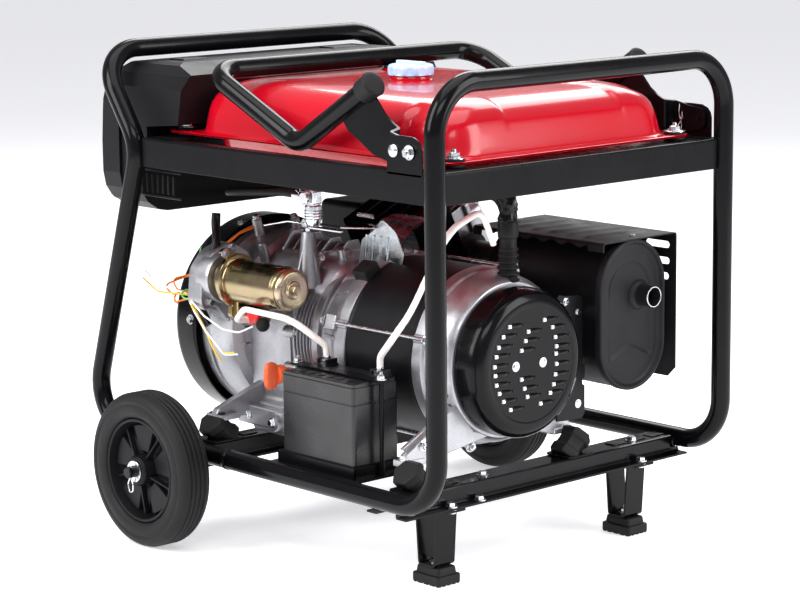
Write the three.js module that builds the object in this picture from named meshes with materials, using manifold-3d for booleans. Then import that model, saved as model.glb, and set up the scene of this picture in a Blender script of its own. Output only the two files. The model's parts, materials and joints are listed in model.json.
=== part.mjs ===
// Portable open-frame generator: tube frame on two wheels and two legs, engine, alternator,
// fuel tank, battery and control panel. Millimetres, +Z up, +X towards the alternator end,
// origin on the ground at the middle of the frame.
import * as THREE from "three";
import { mergeVertices } from "three/addons/utils/BufferGeometryUtils.js";
import Module from "manifold-3d";

const wasm = await Module();
wasm.setup();

// ---- driving dimensions ----
const gap = 0.3; // between pieces that touch
const run = 0.4; // between pieces that move on each other

// frame of bent tube
const tubeR = 12.5;
const tubeBore = tubeR - 1.8;
const frameWidth = 500; // between tube centrelines
const baseLength = 678; // front post to rear corner
const runZ = 116; // lower tubes above ground
const hoopRise = 500; // lower tube to front top bar
const bendR = 62;
const kinkBendR = 60;
const kinkIn = 120; // rear posts lean in to here ...
const kinkRise = 385;
const rearTopBack = 37; // ... and out again to the rear top bar
const rearTopRise = 505;
const jointFromFront = 385; // weld between front and rear hoops

const sideY = frameWidth / 2;
const frontX = baseLength / 2;
const rearX = -baseLength / 2;
const kinkX = rearX + kinkIn;
const topZ = runZ + hoopRise;
const joinX = frontX - jointFromFront;

// rails and cross members of folded sheet
const railZ = runZ + 398;
const railHeight = 38;
const railSheet = 2;
const sideFlange = 14;
const endFlange = 48;
const crossTop = 4; // above the lower tube centrelines
const crossBottom = -20;
const crossHalf = 19;
const crossFlange = 16;
const crossSheet = 2.5;
const frontCrossX = 249; // under the alternator's feet
const rearCrossX = -134; // under the engine's feet
const crossEnd = sideY + tubeR + 2.5;

// wheels, legs and feet
const wheelR = 100;
const tyreWidth = 46;
const tyreBore = wheelR * 0.68;
const hubR = tyreBore - 0.8;
const wheelY = sideY + 59; // wheel centre plane
const axleR = 7.5;
const axleEnd = sideY + 97;
const axleX = rearCrossX;
const axleZ = wheelR;
const legY = sideY - 82;
const legSheet = 3;
const legWidth = 33;
const legTopHalf = 20;
const legBottomHalf = 15;
const footHeight = 22;
const footX = 48;
const footY = 38;

// fuel tank
const tankSheet = 1.5;
const tankFlangeZ = railZ + 6;
const tankTopZ = tankFlangeZ + 68;
const tankPanZ = tankFlangeZ - 32;
const flangeHalf = sideY - 36;
const flangeRear = kinkX + 6;
const flangeFront = frontX - 17;
const neckX = 40;
const neckY = -10;
const neckR = 22;
const gaugeX = -81;
const gaugeY = 85;
const gaugeR = 24;

// carrying handle, turning on pins in the side rails
const pivotX = frontX - 40;
const pivotZ = railZ + 22;
const pivotR = 4;
const lockX = pivotX - 28;
const handleY = sideY - 20;
const handleEndX = pivotX - 87;
const handleEndZ = pivotZ + 71;
const handleDipX = pivotX - 221;
const handleDipZ = pivotZ - 10;
const handleBarX = pivotX - 393;
const handleBarZ = tankTopZ + tubeR + 4.5;
const handleBend = 34;
const handleTopBend = 40;
const handleSheet = 3;

// engine and alternator share one shaft line
const shaftY = -33;
const shaftZ = runZ + 138;
const engineFront = -2;
const blowerR = 138;
const blowerBack = -266;
const blowerFront = -212;
const crankR = 12;
const cylinderTilt = 25; // degrees above level, towards +Y
const starterY = shaftY - 132;
const starterZ = shaftZ + 73;
const starterR = 29;
const governorX = -55;
const governorY = shaftY - 72;
const statorR = 112;
const statorBack = 58;
const statorFront = 181;
const bellFront = 239;
const coverFace = 279;
const coverR = 94;
const mountAcross = { near: shaftY - 170, far: shaftY + 99 };
const rearMountAcross = { near: shaftY - 163, far: shaftY + 99 };
const mountTop = runZ + 40;
const mountR = 21;

// muffler
const mufflerY = 150;
const mufflerZ = shaftZ + 38;
const mufflerHalfWidth = 58;
const mufflerHalfHeight = 95;
const mufflerBack = 70;
const mufflerFront = 279;

// battery
const batteryX = 102;
const batteryY = 58 - sideY;
const batteryLength = 135;
const batteryDepth = 74;
const batteryBase = runZ + 9;
const batteryHeight = 116;
const batteryPost = 50; // each post from the middle

// control panel housing
const panelFace = rearX + 10;
const panelFront = rearX + 107;
const panelHalf = sideY - 22;
const panelBottom = railZ - 106;
const panelTop = railZ + 92;
const panelWall = 3;
const panelCorner = 52;
const keyReach = 28.5; // ignition key in front of the panel face

// ---- finishes ----
const finish = (color, roughness, metalness) => new THREE.MeshStandardMaterial({ color, roughness, metalness });
const blackPaint = finish(0x101012, 0.35, 0.3);
const redPaint = finish(0xc40d22, 0.25, 0.1);
const blackPlastic = finish(0x1a1a1c, 0.6, 0);
const rubber = finish(0x141414, 0.8, 0);
const castAluminium = finish(0xa9abb0, 0.45, 0.9);
const zinc = finish(0xc9ccd0, 0.3, 1);
const goldZinc = finish(0x9a8544, 0.35, 0.9);
const matteBlack = finish(0x1b1b1e, 0.7, 0.2);
const orangePlastic = finish(0xe2603a, 0.5, 0);
const whiteSleeve = finish(0xe6e0da, 0.8, 0);
const capPlastic = finish(0x9cc4e6, 0.3, 0);

// ---- shape helpers ----
function toSolid(geometry) {
  for (const name of Object.keys(geometry.attributes)) {
    if (name !== "position") geometry.deleteAttribute(name);
  }
  const merged = mergeVertices(geometry, 1e-4);
  const corners = merged.index.array;
  const kept = [];
  for (let i = 0; i < corners.length; i += 3) {
    const [a, b, c] = [corners[i], corners[i + 1], corners[i + 2]];
    if (a !== b && b !== c && c !== a) kept.push(a, b, c);
  }
  const vertProperties = Float32Array.from(merged.attributes.position.array);
  return new wasm.Manifold(new wasm.Mesh({ numProp: 3, vertProperties, triVerts: Uint32Array.from(kept) }));
}

const join = (first, ...others) => others.reduce((all, next) => all.add(next), first);
const cut = (first, ...others) => others.reduce((rest, next) => rest.subtract(next), first);

function block(x0, x1, y0, y1, z0, z1) {
  const box = new THREE.BoxGeometry(x1 - x0, y1 - y0, z1 - z0);
  return toSolid(box.translate((x0 + x1) / 2, (y0 + y1) / 2, (z0 + z1) / 2));
}

// round bars along each axis: radius, start, end, then the two other coordinates
function rodX(r, x0, x1, y, z, sides = 18) {
  const bar = new THREE.CylinderGeometry(r, r, x1 - x0, sides).rotateZ(Math.PI / 2);
  return toSolid(bar.translate((x0 + x1) / 2, y, z));
}
function rodY(r, y0, y1, x, z, sides = 18) {
  const bar = new THREE.CylinderGeometry(r, r, Math.abs(y1 - y0), sides);
  return toSolid(bar.translate(x, (y0 + y1) / 2, z));
}
function rodZ(r, z0, z1, x, y, sides = 18) {
  const bar = new THREE.CylinderGeometry(r, r, z1 - z0, sides).rotateX(Math.PI / 2);
  return toSolid(bar.translate(x, y, (z0 + z1) / 2));
}

// turned piece about Y; the outline is [radius, height] pairs, closed on itself or on the axis
function turnY(outline, sides) {
  const onAxis = outline[0][0] === 0;
  const points = onAxis ? outline : [...outline, outline[0]];
  const area = points.reduce((sum, [r, h], i) => {
    const [r2, h2] = points[(i + 1) % points.length];
    return sum + r * h2 - r2 * h;
  }, 0);
  const ordered = area > 0 ? points : [...points].reverse();
  return toSolid(new THREE.LatheGeometry(ordered.map(([r, h]) => new THREE.Vector2(r, h)), sides));
}
// the same turned about X, heights measured along +X
const turnX = (outline, sides, y = 0, z = 0) => turnY(outline, sides).rotate([0, 0, -90]).translate([0, y, z]);

const outlineShape = (points) => new THREE.Shape(points.map(([u, v]) => new THREE.Vector2(u, v)));

// flat outlines pushed along one axis; outline pairs are (y, z), (x, z) and (x, y)
function pushX(points, x0, x1) {
  const body = new THREE.ExtrudeGeometry(outlineShape(points), { depth: x1 - x0, bevelEnabled: false });
  return toSolid(body.rotateX(Math.PI / 2).rotateZ(Math.PI / 2).translate(x0, 0, 0));
}
function pushY(points, y0, y1) {
  const body = new THREE.ExtrudeGeometry(outlineShape(points), { depth: y1 - y0, bevelEnabled: false });
  return toSolid(body.rotateX(Math.PI / 2).translate(0, y1, 0));
}
function pushZ(points, z0, z1) {
  const body = new THREE.ExtrudeGeometry(outlineShape(points), { depth: z1 - z0, bevelEnabled: false });
  return toSolid(body.translate(0, 0, z0));
}

// polyline with its corners rounded to arcs, sampled only where it bends
class BentPath extends THREE.Curve {
  constructor(points, bends, stepAngle) {
    super();
    const corners = points.map((p) => new THREE.Vector3(...p));
    this.stations = [{ at: corners[0], along: corners[1].clone().sub(corners[0]).normalize() }];
    for (let i = 1; i < corners.length - 1; i += 1) this.addBend(corners, i, bends(i), stepAngle);
    const [last, before] = [corners.at(-1), corners.at(-2)];
    this.stations.push({ at: last, along: last.clone().sub(before).normalize() });
  }
  addBend(corners, i, radius, stepAngle) {
    const into = corners[i].clone().sub(corners[i - 1]).normalize();
    const out = corners[i + 1].clone().sub(corners[i]).normalize();
    const angle = into.angleTo(out);
    const reach = radius * Math.tan(angle / 2);
    const start = corners[i].clone().addScaledVector(into, -reach);
    const inward = out.clone().addScaledVector(into, -out.dot(into)).normalize();
    const centre = start.clone().addScaledVector(inward, radius);
    const steps = Math.max(2, Math.ceil(angle / stepAngle));
    for (let k = 0; k <= steps; k += 1) {
      const turn = (angle * k) / steps;
      const at = centre.clone()
        .addScaledVector(inward, -radius * Math.cos(turn))
        .addScaledVector(into, radius * Math.sin(turn));
      const along = into.clone().multiplyScalar(Math.cos(turn)).addScaledVector(inward, Math.sin(turn));
      this.stations.push({ at, along });
    }
  }
  station(u) {
    return this.stations[Math.round(u * (this.stations.length - 1))];
  }
  getPoint(t) {
    return this.station(t).at.clone();
  }
  getPointAt(u) {
    return this.station(u).at.clone();
  }
  getTangentAt(u) {
    return this.station(u).along.clone();
  }
}

function ringPoints(radius, sides) {
  return Array.from({ length: sides }, (_, i) => {
    const turn = (2 * Math.PI * i) / sides;
    return new THREE.Vector2(radius * Math.cos(turn), radius * Math.sin(turn));
  });
}

function bentTube(points, radius, { bend = 10, bends = () => bend, sides = 10, bore = 0, step = 18 } = {}) {
  const path = new BentPath(points, bends, THREE.MathUtils.degToRad(step));
  const section = new THREE.Shape(ringPoints(radius, sides));
  if (bore > 0) section.holes.push(new THREE.Path(ringPoints(bore, 6).reverse()));
  const steps = path.stations.length - 1;
  return toSolid(new THREE.ExtrudeGeometry(section, { steps, extrudePath: path }));
}

// lofted body through rounded rectangles, each { z, x0, x1, half, r } and centred on Y = 0
const cornerSteps = 4;
function roundedRing({ z, x0, x1, half, r }) {
  const centres = [[x1 - r, half - r, 0], [x0 + r, half - r, 1], [x0 + r, r - half, 2], [x1 - r, r - half, 3]];
  return centres.flatMap(([x, y, quarter]) => Array.from({ length: cornerSteps + 1 }, (_, k) => {
    const turn = (quarter + k / cornerSteps) * Math.PI / 2;
    return [x + r * Math.cos(turn), y + r * Math.sin(turn), z];
  }));
}
function loft(rings) {
  const count = rings[0].length;
  const faces = [];
  for (let level = 0; level < rings.length - 1; level += 1) {
    for (let i = 0; i < count; i += 1) {
      const [a, b] = [level * count + i, level * count + ((i + 1) % count)];
      faces.push(a, b, b + count, a, b + count, a + count);
    }
  }
  const top = (rings.length - 1) * count;
  for (let i = 1; i < count - 1; i += 1) faces.push(0, i + 1, i, top, top + i, top + i + 1);
  const geometry = new THREE.BufferGeometry();
  geometry.setAttribute("position", new THREE.Float32BufferAttribute(rings.flat(2), 3));
  geometry.setIndex(faces);
  return toSolid(geometry);
}

const generator = new THREE.Group();

function addPiece(name, solid, material, group = generator) {
  const { vertProperties, triVerts } = solid.getMesh();
  const geometry = new THREE.BufferGeometry();
  geometry.setAttribute("position", new THREE.BufferAttribute(vertProperties, 3));
  geometry.setIndex(new THREE.BufferAttribute(triVerts, 1));
  geometry.computeVertexNormals();
  const mesh = new THREE.Mesh(geometry, material);
  mesh.name = name;
  group.add(mesh);
}

function groupAt(x, y, z) {
  const group = new THREE.Group();
  group.position.set(x, y, z);
  generator.add(group);
  return group;
}

const sides = [["near", -1], ["far", 1]];

// ---- frame ----
function buildHoops() {
  const frontRoute = [
    [joinX, -sideY, runZ], [frontX, -sideY, runZ], [frontX, -sideY, topZ],
    [frontX, sideY, topZ], [frontX, sideY, runZ], [joinX, sideY, runZ],
  ];
  addPiece("front_hoop", bentTube(frontRoute, tubeR, { bend: bendR, bore: tubeBore }), blackPaint);
  const halfRoute = [
    [joinX - gap, runZ], [rearX, runZ], [kinkX, runZ + kinkRise], [rearX + rearTopBack, runZ + rearTopRise],
  ];
  const rearRoute = [
    ...halfRoute.map(([x, z]) => [x, -sideY, z]),
    ...halfRoute.reverse().map(([x, z]) => [x, sideY, z]),
  ];
  const bends = (i) => (i === 2 || i === 5 ? kinkBendR : bendR);
  addPiece("rear_hoop", bentTube(rearRoute, tubeR, { bends, bore: tubeBore }), blackPaint);
}

const railRear = kinkX + tubeR - 4.5;
const railFront = frontX - tubeR - gap;

function buildRails() {
  const bracket = [
    [lockX - 12, railZ - 4], [pivotX + 18, railZ - 4], [pivotX + 18, pivotZ + 8],
    [pivotX + 10, pivotZ + 16], [lockX - 12, pivotZ + 18],
  ];
  for (const [place, side] of sides) {
    const web = side * sideY;
    const inner = side * (sideY - railSheet / 2 - sideFlange);
    const outline = [
      [web + railSheet / 2, railZ - railHeight], [web + railSheet / 2, railZ],
      [web - railSheet / 2, railZ], [web - railSheet / 2, railZ - railHeight],
    ];
    const sheet = pushX(outline.reverse(), railRear, railFront);
    const [low, high] = [Math.min(web, inner), Math.max(web, inner)];
    const flange = block(railRear, railFront, low, high, railZ - railSheet, railZ);
    const ear = cut(
      pushY(bracket, web - railSheet / 2, web + railSheet / 2),
      rodY(pivotR + run, web - 5, web + 5, lockX, pivotZ, 16),
    );
    const pinEnds = [side * (sideY - 7), side * (sideY + 4)].sort((a, b) => a - b);
    const pin = rodY(pivotR, ...pinEnds, pivotX, pivotZ, 16);
    const head = rodY(7, ...[side * (sideY + 1), side * (sideY + 6)].sort((a, b) => a - b), pivotX, pivotZ, 6);
    addPiece(`${place}_rail`, join(sheet, flange, ear, pin, head), blackPaint);
  }
  const flangeEnd = sideY - railSheet / 2 - sideFlange - gap;
  const webEnd = sideY - tubeR - gap;
  const frontWeb = block(frontX - 1, frontX + 1, -webEnd, webEnd, railZ - railHeight, railZ);
  const frontFlange = block(frontX - endFlange, frontX, -flangeEnd, flangeEnd, railZ - railSheet, railZ);
  addPiece("front_rail", join(frontWeb, frontFlange), blackPaint);
  const rearWeb = block(railRear, railRear + railSheet, -flangeEnd, flangeEnd, railZ - railHeight, railZ);
  const rearFlange = block(railRear, railRear + endFlange, -flangeEnd, flangeEnd, railZ - railSheet, railZ);
  addPiece("rear_rail", join(rearWeb, rearFlange), blackPaint);
}

// hat section, open side down, notched over the lower tubes
function crossMember(x) {
  const [low, high, t] = [runZ + crossBottom, runZ + crossTop, crossSheet];
  const [web, edge] = [crossHalf, crossHalf + crossFlange];
  const outline = [
    [x - edge, low], [x - web + t, low], [x - web + t, high - t], [x + web - t, high - t],
    [x + web - t, low], [x + edge, low], [x + edge, low + t], [x + web, low + t],
    [x + web, high], [x - web, high], [x - web, low + t], [x - edge, low + t],
  ];
  return pushY(outline, -crossEnd, crossEnd);
}
const tubeNotch = (x, side) => rodX(tubeR + gap, x - 50, x + 50, side * sideY, runZ, 16);

function buildCrossMembers() {
  const front = cut(crossMember(frontCrossX), tubeNotch(frontCrossX, -1), tubeNotch(frontCrossX, 1));
  addPiece("front_crossmember", front, blackPaint);
  let rear = crossMember(rearCrossX);
  for (const side of [-1, 1]) {
    const reach = (a, b) => [side * a, side * b].sort((p, q) => p - q);
    const plateY = reach(crossEnd - 2, crossEnd + 3);
    const plate = block(axleX - 24, axleX + 24, ...plateY, axleZ - 18, runZ + crossTop);
    const collar = rodY(12, ...reach(crossEnd + 2, wheelY - tyreWidth / 2 - 2.5), axleX, axleZ);
    const stub = cut(
      rodY(axleR, ...reach(crossEnd + 2, axleEnd), axleX, axleZ),
      rodZ(2.2, axleZ - 10, axleZ + 10, axleX, side * (axleEnd - 6), 8),
    );
    rear = join(cut(rear, tubeNotch(rearCrossX, side)), plate, collar, stub);
  }
  addPiece("rear_crossmember", rear, blackPaint);
}

function buildLegs() {
  const top = runZ + crossBottom - gap;
  const base = footHeight + gap;
  const [t, wide] = [legSheet, crossHalf + crossFlange];
  const x = frontCrossX;
  const outline = [
    [x - wide, top], [x - wide, top - t], [x - legTopHalf, top - t], [x - legBottomHalf, base],
    [x + legBottomHalf, base], [x + legTopHalf, top - t], [x + wide, top - t], [x + wide, top],
    [x + legTopHalf - t, top], [x + legBottomHalf - t, base + t], [x - legBottomHalf + t, base + t],
    [x - legTopHalf + t, top],
  ];
  for (const [place, side] of sides) {
    const middle = side * legY;
    addPiece(`leg_${place}`, pushY(outline, middle - legWidth / 2, middle + legWidth / 2), blackPaint);
    const level = (z, inset) => roundedRing({
      z, x0: x - footX / 2 + inset, x1: x + footX / 2 - inset, half: footY / 2 - inset, r: 4,
    });
    const pad = loft([level(0, 1), level(3, 0), level(12, 0), level(footHeight, 3)]);
    addPiece(`foot_${place}`, pad.translate([0, side * legY, 0]), rubber);
  }
}

function buildWheels() {
  const half = tyreWidth / 2;
  const tyre = [
    [tyreBore, 4 - half], [tyreBore + 4, -half], [wheelR - 10, -half], [wheelR - 3, 4 - half],
    [wheelR, 9 - half], [wheelR, half - 9], [wheelR - 3, half - 4], [wheelR - 10, half],
    [tyreBore + 4, half], [tyreBore, half - 4],
  ];
  const bore = axleR + run;
  const hub = [
    [bore, -half - 2], [20, -half - 2], [22, -9], [57, -7], [62, 5 - half], [hubR, 5 - half],
    [hubR, half - 5], [62, half - 5], [57, 3], [22, 5], [20, half + 2], [bore, half + 2],
  ];
  for (const [place, side] of sides) {
    const wheel = groupAt(axleX, side * wheelY, axleZ);
    wheel.rotation.z = side > 0 ? 0 : Math.PI; // dished face outwards
    addPiece(`tyre_${place}`, turnY(tyre, 32), rubber, wheel);
    addPiece(`hub_${place}`, turnY(hub, 20), blackPlastic, wheel);
  }
}

// ---- fuel system ----
// rounded rectangle at height z, drawn in from the flange's rear, front and side edges
function tankLevel(z, fromRear, fromFront, fromSide, r) {
  return { z, x0: flangeRear + fromRear, x1: flangeFront - fromFront, half: flangeHalf - fromSide, r };
}
const tankLevels = [
  tankLevel(tankFlangeZ, 37, 17, 11, 60),
  tankLevel(tankFlangeZ + 41, 42, 26, 20, 54),
  tankLevel(tankTopZ - 16, 48, 34, 30, 50),
  tankLevel(tankTopZ - 7, 60, 47, 45, 45),
  tankLevel(tankTopZ - 2, 77, 66, 66, 38),
  tankLevel(tankTopZ, 100, 92, 92, 32),
];
const shrink = (level, by, z = level.z) => (
  { z, x0: level.x0 + by, x1: level.x1 - by, half: level.half - by, r: level.r - by }
);

function buildTank() {
  const flange = { x0: flangeRear, x1: flangeFront, half: flangeHalf, r: 22 };
  const flangePlate = (z) => loft([z, z + tankSheet].map((level) => roundedRing({ ...flange, z: level })));
  const outer = loft(tankLevels.map(roundedRing));
  const hollow = loft([
    shrink(tankLevels[0], tankSheet, tankFlangeZ - 1),
    ...tankLevels.slice(0, -1).map((level) => shrink(level, tankSheet)),
    shrink(tankLevels.at(-1), tankSheet, tankTopZ - tankSheet),
  ].map(roundedRing));
  const neckRing = rodZ(neckR + 5, tankTopZ - 1, tankTopZ + 5, neckX, neckY);
  const gaugeRing = rodZ(gaugeR + 3, tankTopZ - 1, tankTopZ + 2, gaugeX, gaugeY);
  const upper = cut(
    join(flangePlate(tankFlangeZ), outer, neckRing, gaugeRing),
    hollow,
    rodZ(neckR, tankTopZ - 10, tankTopZ + 10, neckX, neckY),
    rodZ(8, tankTopZ - 10, tankTopZ + 10, gaugeX, gaugeY, 16),
    rodZ(gaugeR, tankTopZ, tankTopZ + 10, gaugeX, gaugeY),
  );
  addPiece("tank_upper", upper, redPaint);

  const seam = tankFlangeZ - gap - tankSheet;
  const pan = [
    tankLevel(tankPanZ, 73, 56, 38, 40), tankLevel(tankPanZ + 8, 63, 46, 28, 46),
    tankLevel(seam + tankSheet, 58, 41, 23, 50),
  ];
  const panHollow = [
    shrink(pan[0], tankSheet, tankPanZ + tankSheet), shrink(pan[1], tankSheet),
    shrink(pan[2], tankSheet, seam + tankSheet + 1),
  ];
  const lower = cut(join(flangePlate(seam), loft(pan.map(roundedRing))), loft(panHollow.map(roundedRing)));
  addPiece("tank_lower", lower, redPaint);

  const capBase = tankTopZ + 5 + gap;
  const skirt = turnY([[0, 0], [29, 0], [31, 3], [31, 11], [28, 14], [0, 14]], 24);
  const plug = rodZ(neckR - run, capBase - 8, capBase + 2, neckX, neckY);
  const grip = block(neckX - 26, neckX + 26, neckY - 5, neckY + 5, capBase + 13, capBase + 18);
  const cap = join(skirt.rotate([90, 0, 0]).translate([neckX, neckY, capBase]), plug, grip);
  addPiece("fuel_cap", cap, capPlastic);

  const floatZ = tankTopZ - 68;
  const armRoute = [
    [gaugeX, gaugeY, tankTopZ - 4], [gaugeX, gaugeY, tankTopZ - 43], [gaugeX + 60, gaugeY, floatZ],
  ];
  const floatArm = bentTube(armRoute, 2, { sides: 8 });
  const gauge = join(
    rodZ(gaugeR - run, tankTopZ + gap, tankTopZ + 3, gaugeX, gaugeY),
    rodZ(8 - run, tankTopZ - 6, tankTopZ + 1, gaugeX, gaugeY, 16),
    floatArm,
    rodY(9, gaugeY - 14, gaugeY + 14, gaugeX + 60, floatZ, 16),
  );
  addPiece("fuel_gauge", gauge, blackPlastic);
}

const valveX = 8;
const carbX = -172;
// intake and exhaust ports on the leaned cylinder head
const portAlong = 208;
const portY = shaftY + portAlong * Math.cos(THREE.MathUtils.degToRad(cylinderTilt));
const portZ = shaftZ + portAlong * Math.sin(THREE.MathUtils.degToRad(cylinderTilt));
const valveY = -150;

function buildFuelLine() {
  const [x, y] = [valveX, valveY];
  const outletZ = tankPanZ - 41;
  const body = join(
    rodZ(10, outletZ + 27, tankPanZ - gap, x, y, 6), rodZ(5, outletZ + 8, outletZ + 29, x, y, 12),
    block(x - 9, x + 9, y - 8, y + 8, outletZ - 9, outletZ + 10), rodZ(11, outletZ - 37, outletZ - 8, x, y, 20),
    rodX(3.5, x - 26, x - 8, y, outletZ, 12), rodY(6, y - 12, y - 7, x, outletZ, 16),
  );
  addPiece("fuel_valve", body, zinc);
  const lever = join(
    rodY(8, y - 17, y - 12 - gap, x, outletZ, 16),
    block(x - 24, x, y - 16, y - 12 - gap, outletZ - 3.5, outletZ + 3.5),
  );
  addPiece("fuel_valve_lever", lever, zinc);
  const hoseBends = (i) => [0, 24, 24, 14, 12][i];
  const route = [
    [x - 26 - gap, y, outletZ], [x - 184, y + 2, outletZ - 11], [x - 194, y + 60, outletZ - 17],
    [carbX - 2, portY - 30, outletZ - 19], [carbX, portY, outletZ - 27], [carbX, portY, portZ + 32 + gap],
  ];
  addPiece("fuel_hose", bentTube(route, 4.5, { bends: hoseBends, sides: 10, step: 20 }), rubber);
}

// ---- carrying handle and its lock pins ----
function buildHandle() {
  const arm = [[handleEndX, handleEndZ], [handleDipX, handleDipZ], [handleBarX, handleBarZ]];
  const route = [
    ...arm.map(([x, z]) => [x, -handleY, z]),
    ...[...arm].reverse().map(([x, z]) => [x, handleY, z]),
  ];
  const bends = (i) => (i === 1 || i === 4 ? handleBend : handleTopBend);
  const tubes = bentTube(route, tubeR, { bends });
  const plateOutline = [
    [handleEndX - 62, handleEndZ - 36], [handleEndX - 6, handleEndZ - 3], [handleEndX + 22, handleEndZ - 34],
    [pivotX - 40, pivotZ + 22], [pivotX + 8, pivotZ + 13], [pivotX + 13, pivotZ], [pivotX + 8, pivotZ - 13],
    [pivotX - 44, pivotZ - 18], [pivotX - 92, pivotZ - 10], [handleEndX - 44, handleEndZ - 58],
  ];
  const t = handleSheet;
  const tabY = sideY - railSheet / 2 - run;
  const plates = [-1, 1].map((side) => {
    const plan = [
      [handleEndX - 70, handleY], [lockX - 17, handleY], [lockX - 9, tabY], [pivotX + 20, tabY],
      [pivotX + 20, tabY - t], [lockX - 7.5, tabY - t], [lockX - 15.5, handleY - t],
      [handleEndX - 70, handleY - t],
    ].map(([x, y]) => [x, side * y]);
    const folded = pushZ(side > 0 ? plan.reverse() : plan, railZ + run, handleEndZ);
    const flat = pushY(plateOutline, ...[side * sideY, side * (handleY - 10)].sort((a, b) => a - b));
    const holes = [pivotX, lockX].map((x) => rodY(pivotR + run, -sideY, sideY, x, pivotZ, 16));
    return cut(folded.intersect(flat), ...holes);
  });
  addPiece("carry_handle", join(tubes, ...plates), blackPaint);
  for (const [place, side] of sides) {
    const reach = (a, b) => [side * a, side * b].sort((p, q) => p - q);
    const pin = join(
      rodY(pivotR, ...reach(sideY - 1, sideY + 4), lockX, pivotZ, 16),
      rodY(8, ...reach(sideY + 1 + gap, sideY + 5), lockX, pivotZ, 20),
    );
    addPiece(`lock_pin_${place}`, pin, zinc);
  }
}

// ---- control panel ----
function buildPanel() {
  const [back, front, w] = [panelFace, panelFront, panelWall];
  const side = [
    [back, panelBottom + 18], [back + 14, panelBottom], [front - 20, panelBottom], [front - 20, panelTop - 136],
    [front - 4, panelTop - 120], [front - 4, panelTop - 82], [front + 62, panelTop - 76],
    [front + 74, panelTop - 12], [front + 20, panelTop], [back + 26, panelTop - 2], [back + 8, panelTop - 18],
    [back + 3, panelTop - 66], [back, panelTop - 106],
  ];
  const endOutline = (inset) => roundedRing({
    z: 0, x0: panelBottom - 1 + inset, x1: panelTop + 1 - inset,
    half: panelHalf - inset, r: panelCorner - inset,
  }).map(([z, y]) => [y, z]).reverse();
  const shell = pushY(side, -panelHalf, panelHalf).intersect(pushX(endOutline(0), back - 1, front + 80));
  const hollow = [
    [back - 1, panelBottom + 16], [back + 16, panelBottom + w], [front - 20 - w, panelBottom + w],
    [front - 20 - w, panelTop - 135], [front - 4 - w, panelTop - 119], [front - 4 - w, panelTop - 82 + w],
    [front + 62 - w, panelTop - 76 + w], [front + 74 - w, panelTop - 14], [front + 20, panelTop - w],
    [back + 25, panelTop - w - 2], [back - 1, panelTop - 22],
  ];
  const postStart = front - 60;
  const postFace = sideY - tubeR - 13.5; // the shell is drawn in to here past the rear posts
  const postInset = panelHalf - postFace;
  const cavity = pushY(hollow, -panelHalf, panelHalf).intersect(join(
    pushX(endOutline(w), back - 2, postStart - w), pushX(endOutline(w + postInset), postStart - 10, front + 80),
  ));
  const tankRoom = loft([
    { ...shrink(tankLevels[0], -4, tankFlangeZ - 30) }, ...tankLevels.map((level) => shrink(level, -4)),
    shrink(tankLevels.at(-1), -3, tankTopZ + 2),
  ].map(roundedRing));
  const roomHalf = flangeHalf + 4;
  const flangeRoom = block(
    flangeRear - 5, flangeRear + 213, -roomHalf, roomHalf, tankFlangeZ - 20, tankFlangeZ + 8,
  );
  const posts = [-1, 1].map((s) => (
    block(postStart, front + 80, s * (postFace + 8) - 8, s * (postFace + 8) + 8, panelBottom - 8, panelTop + 34)
  ));
  const housing = cut(
    shell, cavity, tankRoom, flangeRoom, ...posts,
    block(front - 4, front + 100, -panelHalf, panelHalf, panelBottom - 8, railZ + 2),
  );
  addPiece("control_housing", housing, blackPlastic);

  const faceX = back + 6;
  const plate = pushX(endOutline(w + gap), faceX, faceX + w)
    .intersect(block(faceX - 9, faceX + 9, -panelHalf, panelHalf, panelBottom + 13, panelTop - 20));
  const highZ = panelTop - 71;
  const outletFrom = { y: 90, z: panelBottom + 28 };
  const outletTo = { y: 190, z: panelBottom + 140 };
  const meterY = -130;
  const key = { y: -30, z: highZ };
  const rocker = { y: 40, z: highZ };
  const face = cut(
    plate, rodX(9, faceX - 5, faceX + 9, key.y, key.z, 20),
    block(faceX - 5, faceX + 9, rocker.y - 15, rocker.y + 15, rocker.z - 13, rocker.z + 13),
    rodX(26, faceX - 5, faceX + 9, meterY, highZ - 8, 28),
    block(faceX - 5, faceX + 9, outletFrom.y, outletTo.y, outletFrom.z, outletTo.z),
  );
  addPiece("control_face", face, blackPlastic);
  const outlet = cut(
    block(faceX - 3, faceX + 26, outletFrom.y + gap, outletTo.y - gap, outletFrom.z + gap, outletTo.z - gap),
    ...[outletFrom.z + 28, outletTo.z - 28].map((z) => rodX(19, faceX - 4, faceX + 6, 140, z, 24)),
  );
  addPiece("outlet_block", outlet, blackPlastic);
  const meter = join(
    rodX(26 - gap, faceX - 1, faceX + 24, meterY, highZ - 8, 28),
    rodX(30, faceX - 4, faceX - gap, meterY, highZ - 8, 28),
  );
  addPiece("voltmeter", meter, blackPlastic);
  const keyStem = join(
    rodX(9 - run, faceX - 4, faceX + 20, key.y, key.z, 20),
    block(faceX - keyReach, faceX - 3, key.y - 1.5, key.y + 1.5, key.z - 9, key.z + 9),
  );
  addPiece("ignition_key", keyStem, blackPlastic);
  const rockerSide = [
    [faceX - 1, rocker.z - 11], [faceX + 9, rocker.z - 6], [faceX + 9, rocker.z + 6],
    [faceX - 1, rocker.z + 11], [faceX - 7, rocker.z + 10], [faceX - 3.5, rocker.z], [faceX - 2, rocker.z - 10],
  ];
  addPiece("breaker_rocker", pushY(rockerSide, rocker.y - 13, rocker.y + 13), redPaint);
}

// ---- engine: Y and Z below are measured from the shaft line ----
// pieces modelled with the bore along +Z, then leaned over towards +Y
const lean = (solid) => solid.rotate([cylinderTilt - 90, 0, 0]);

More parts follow.
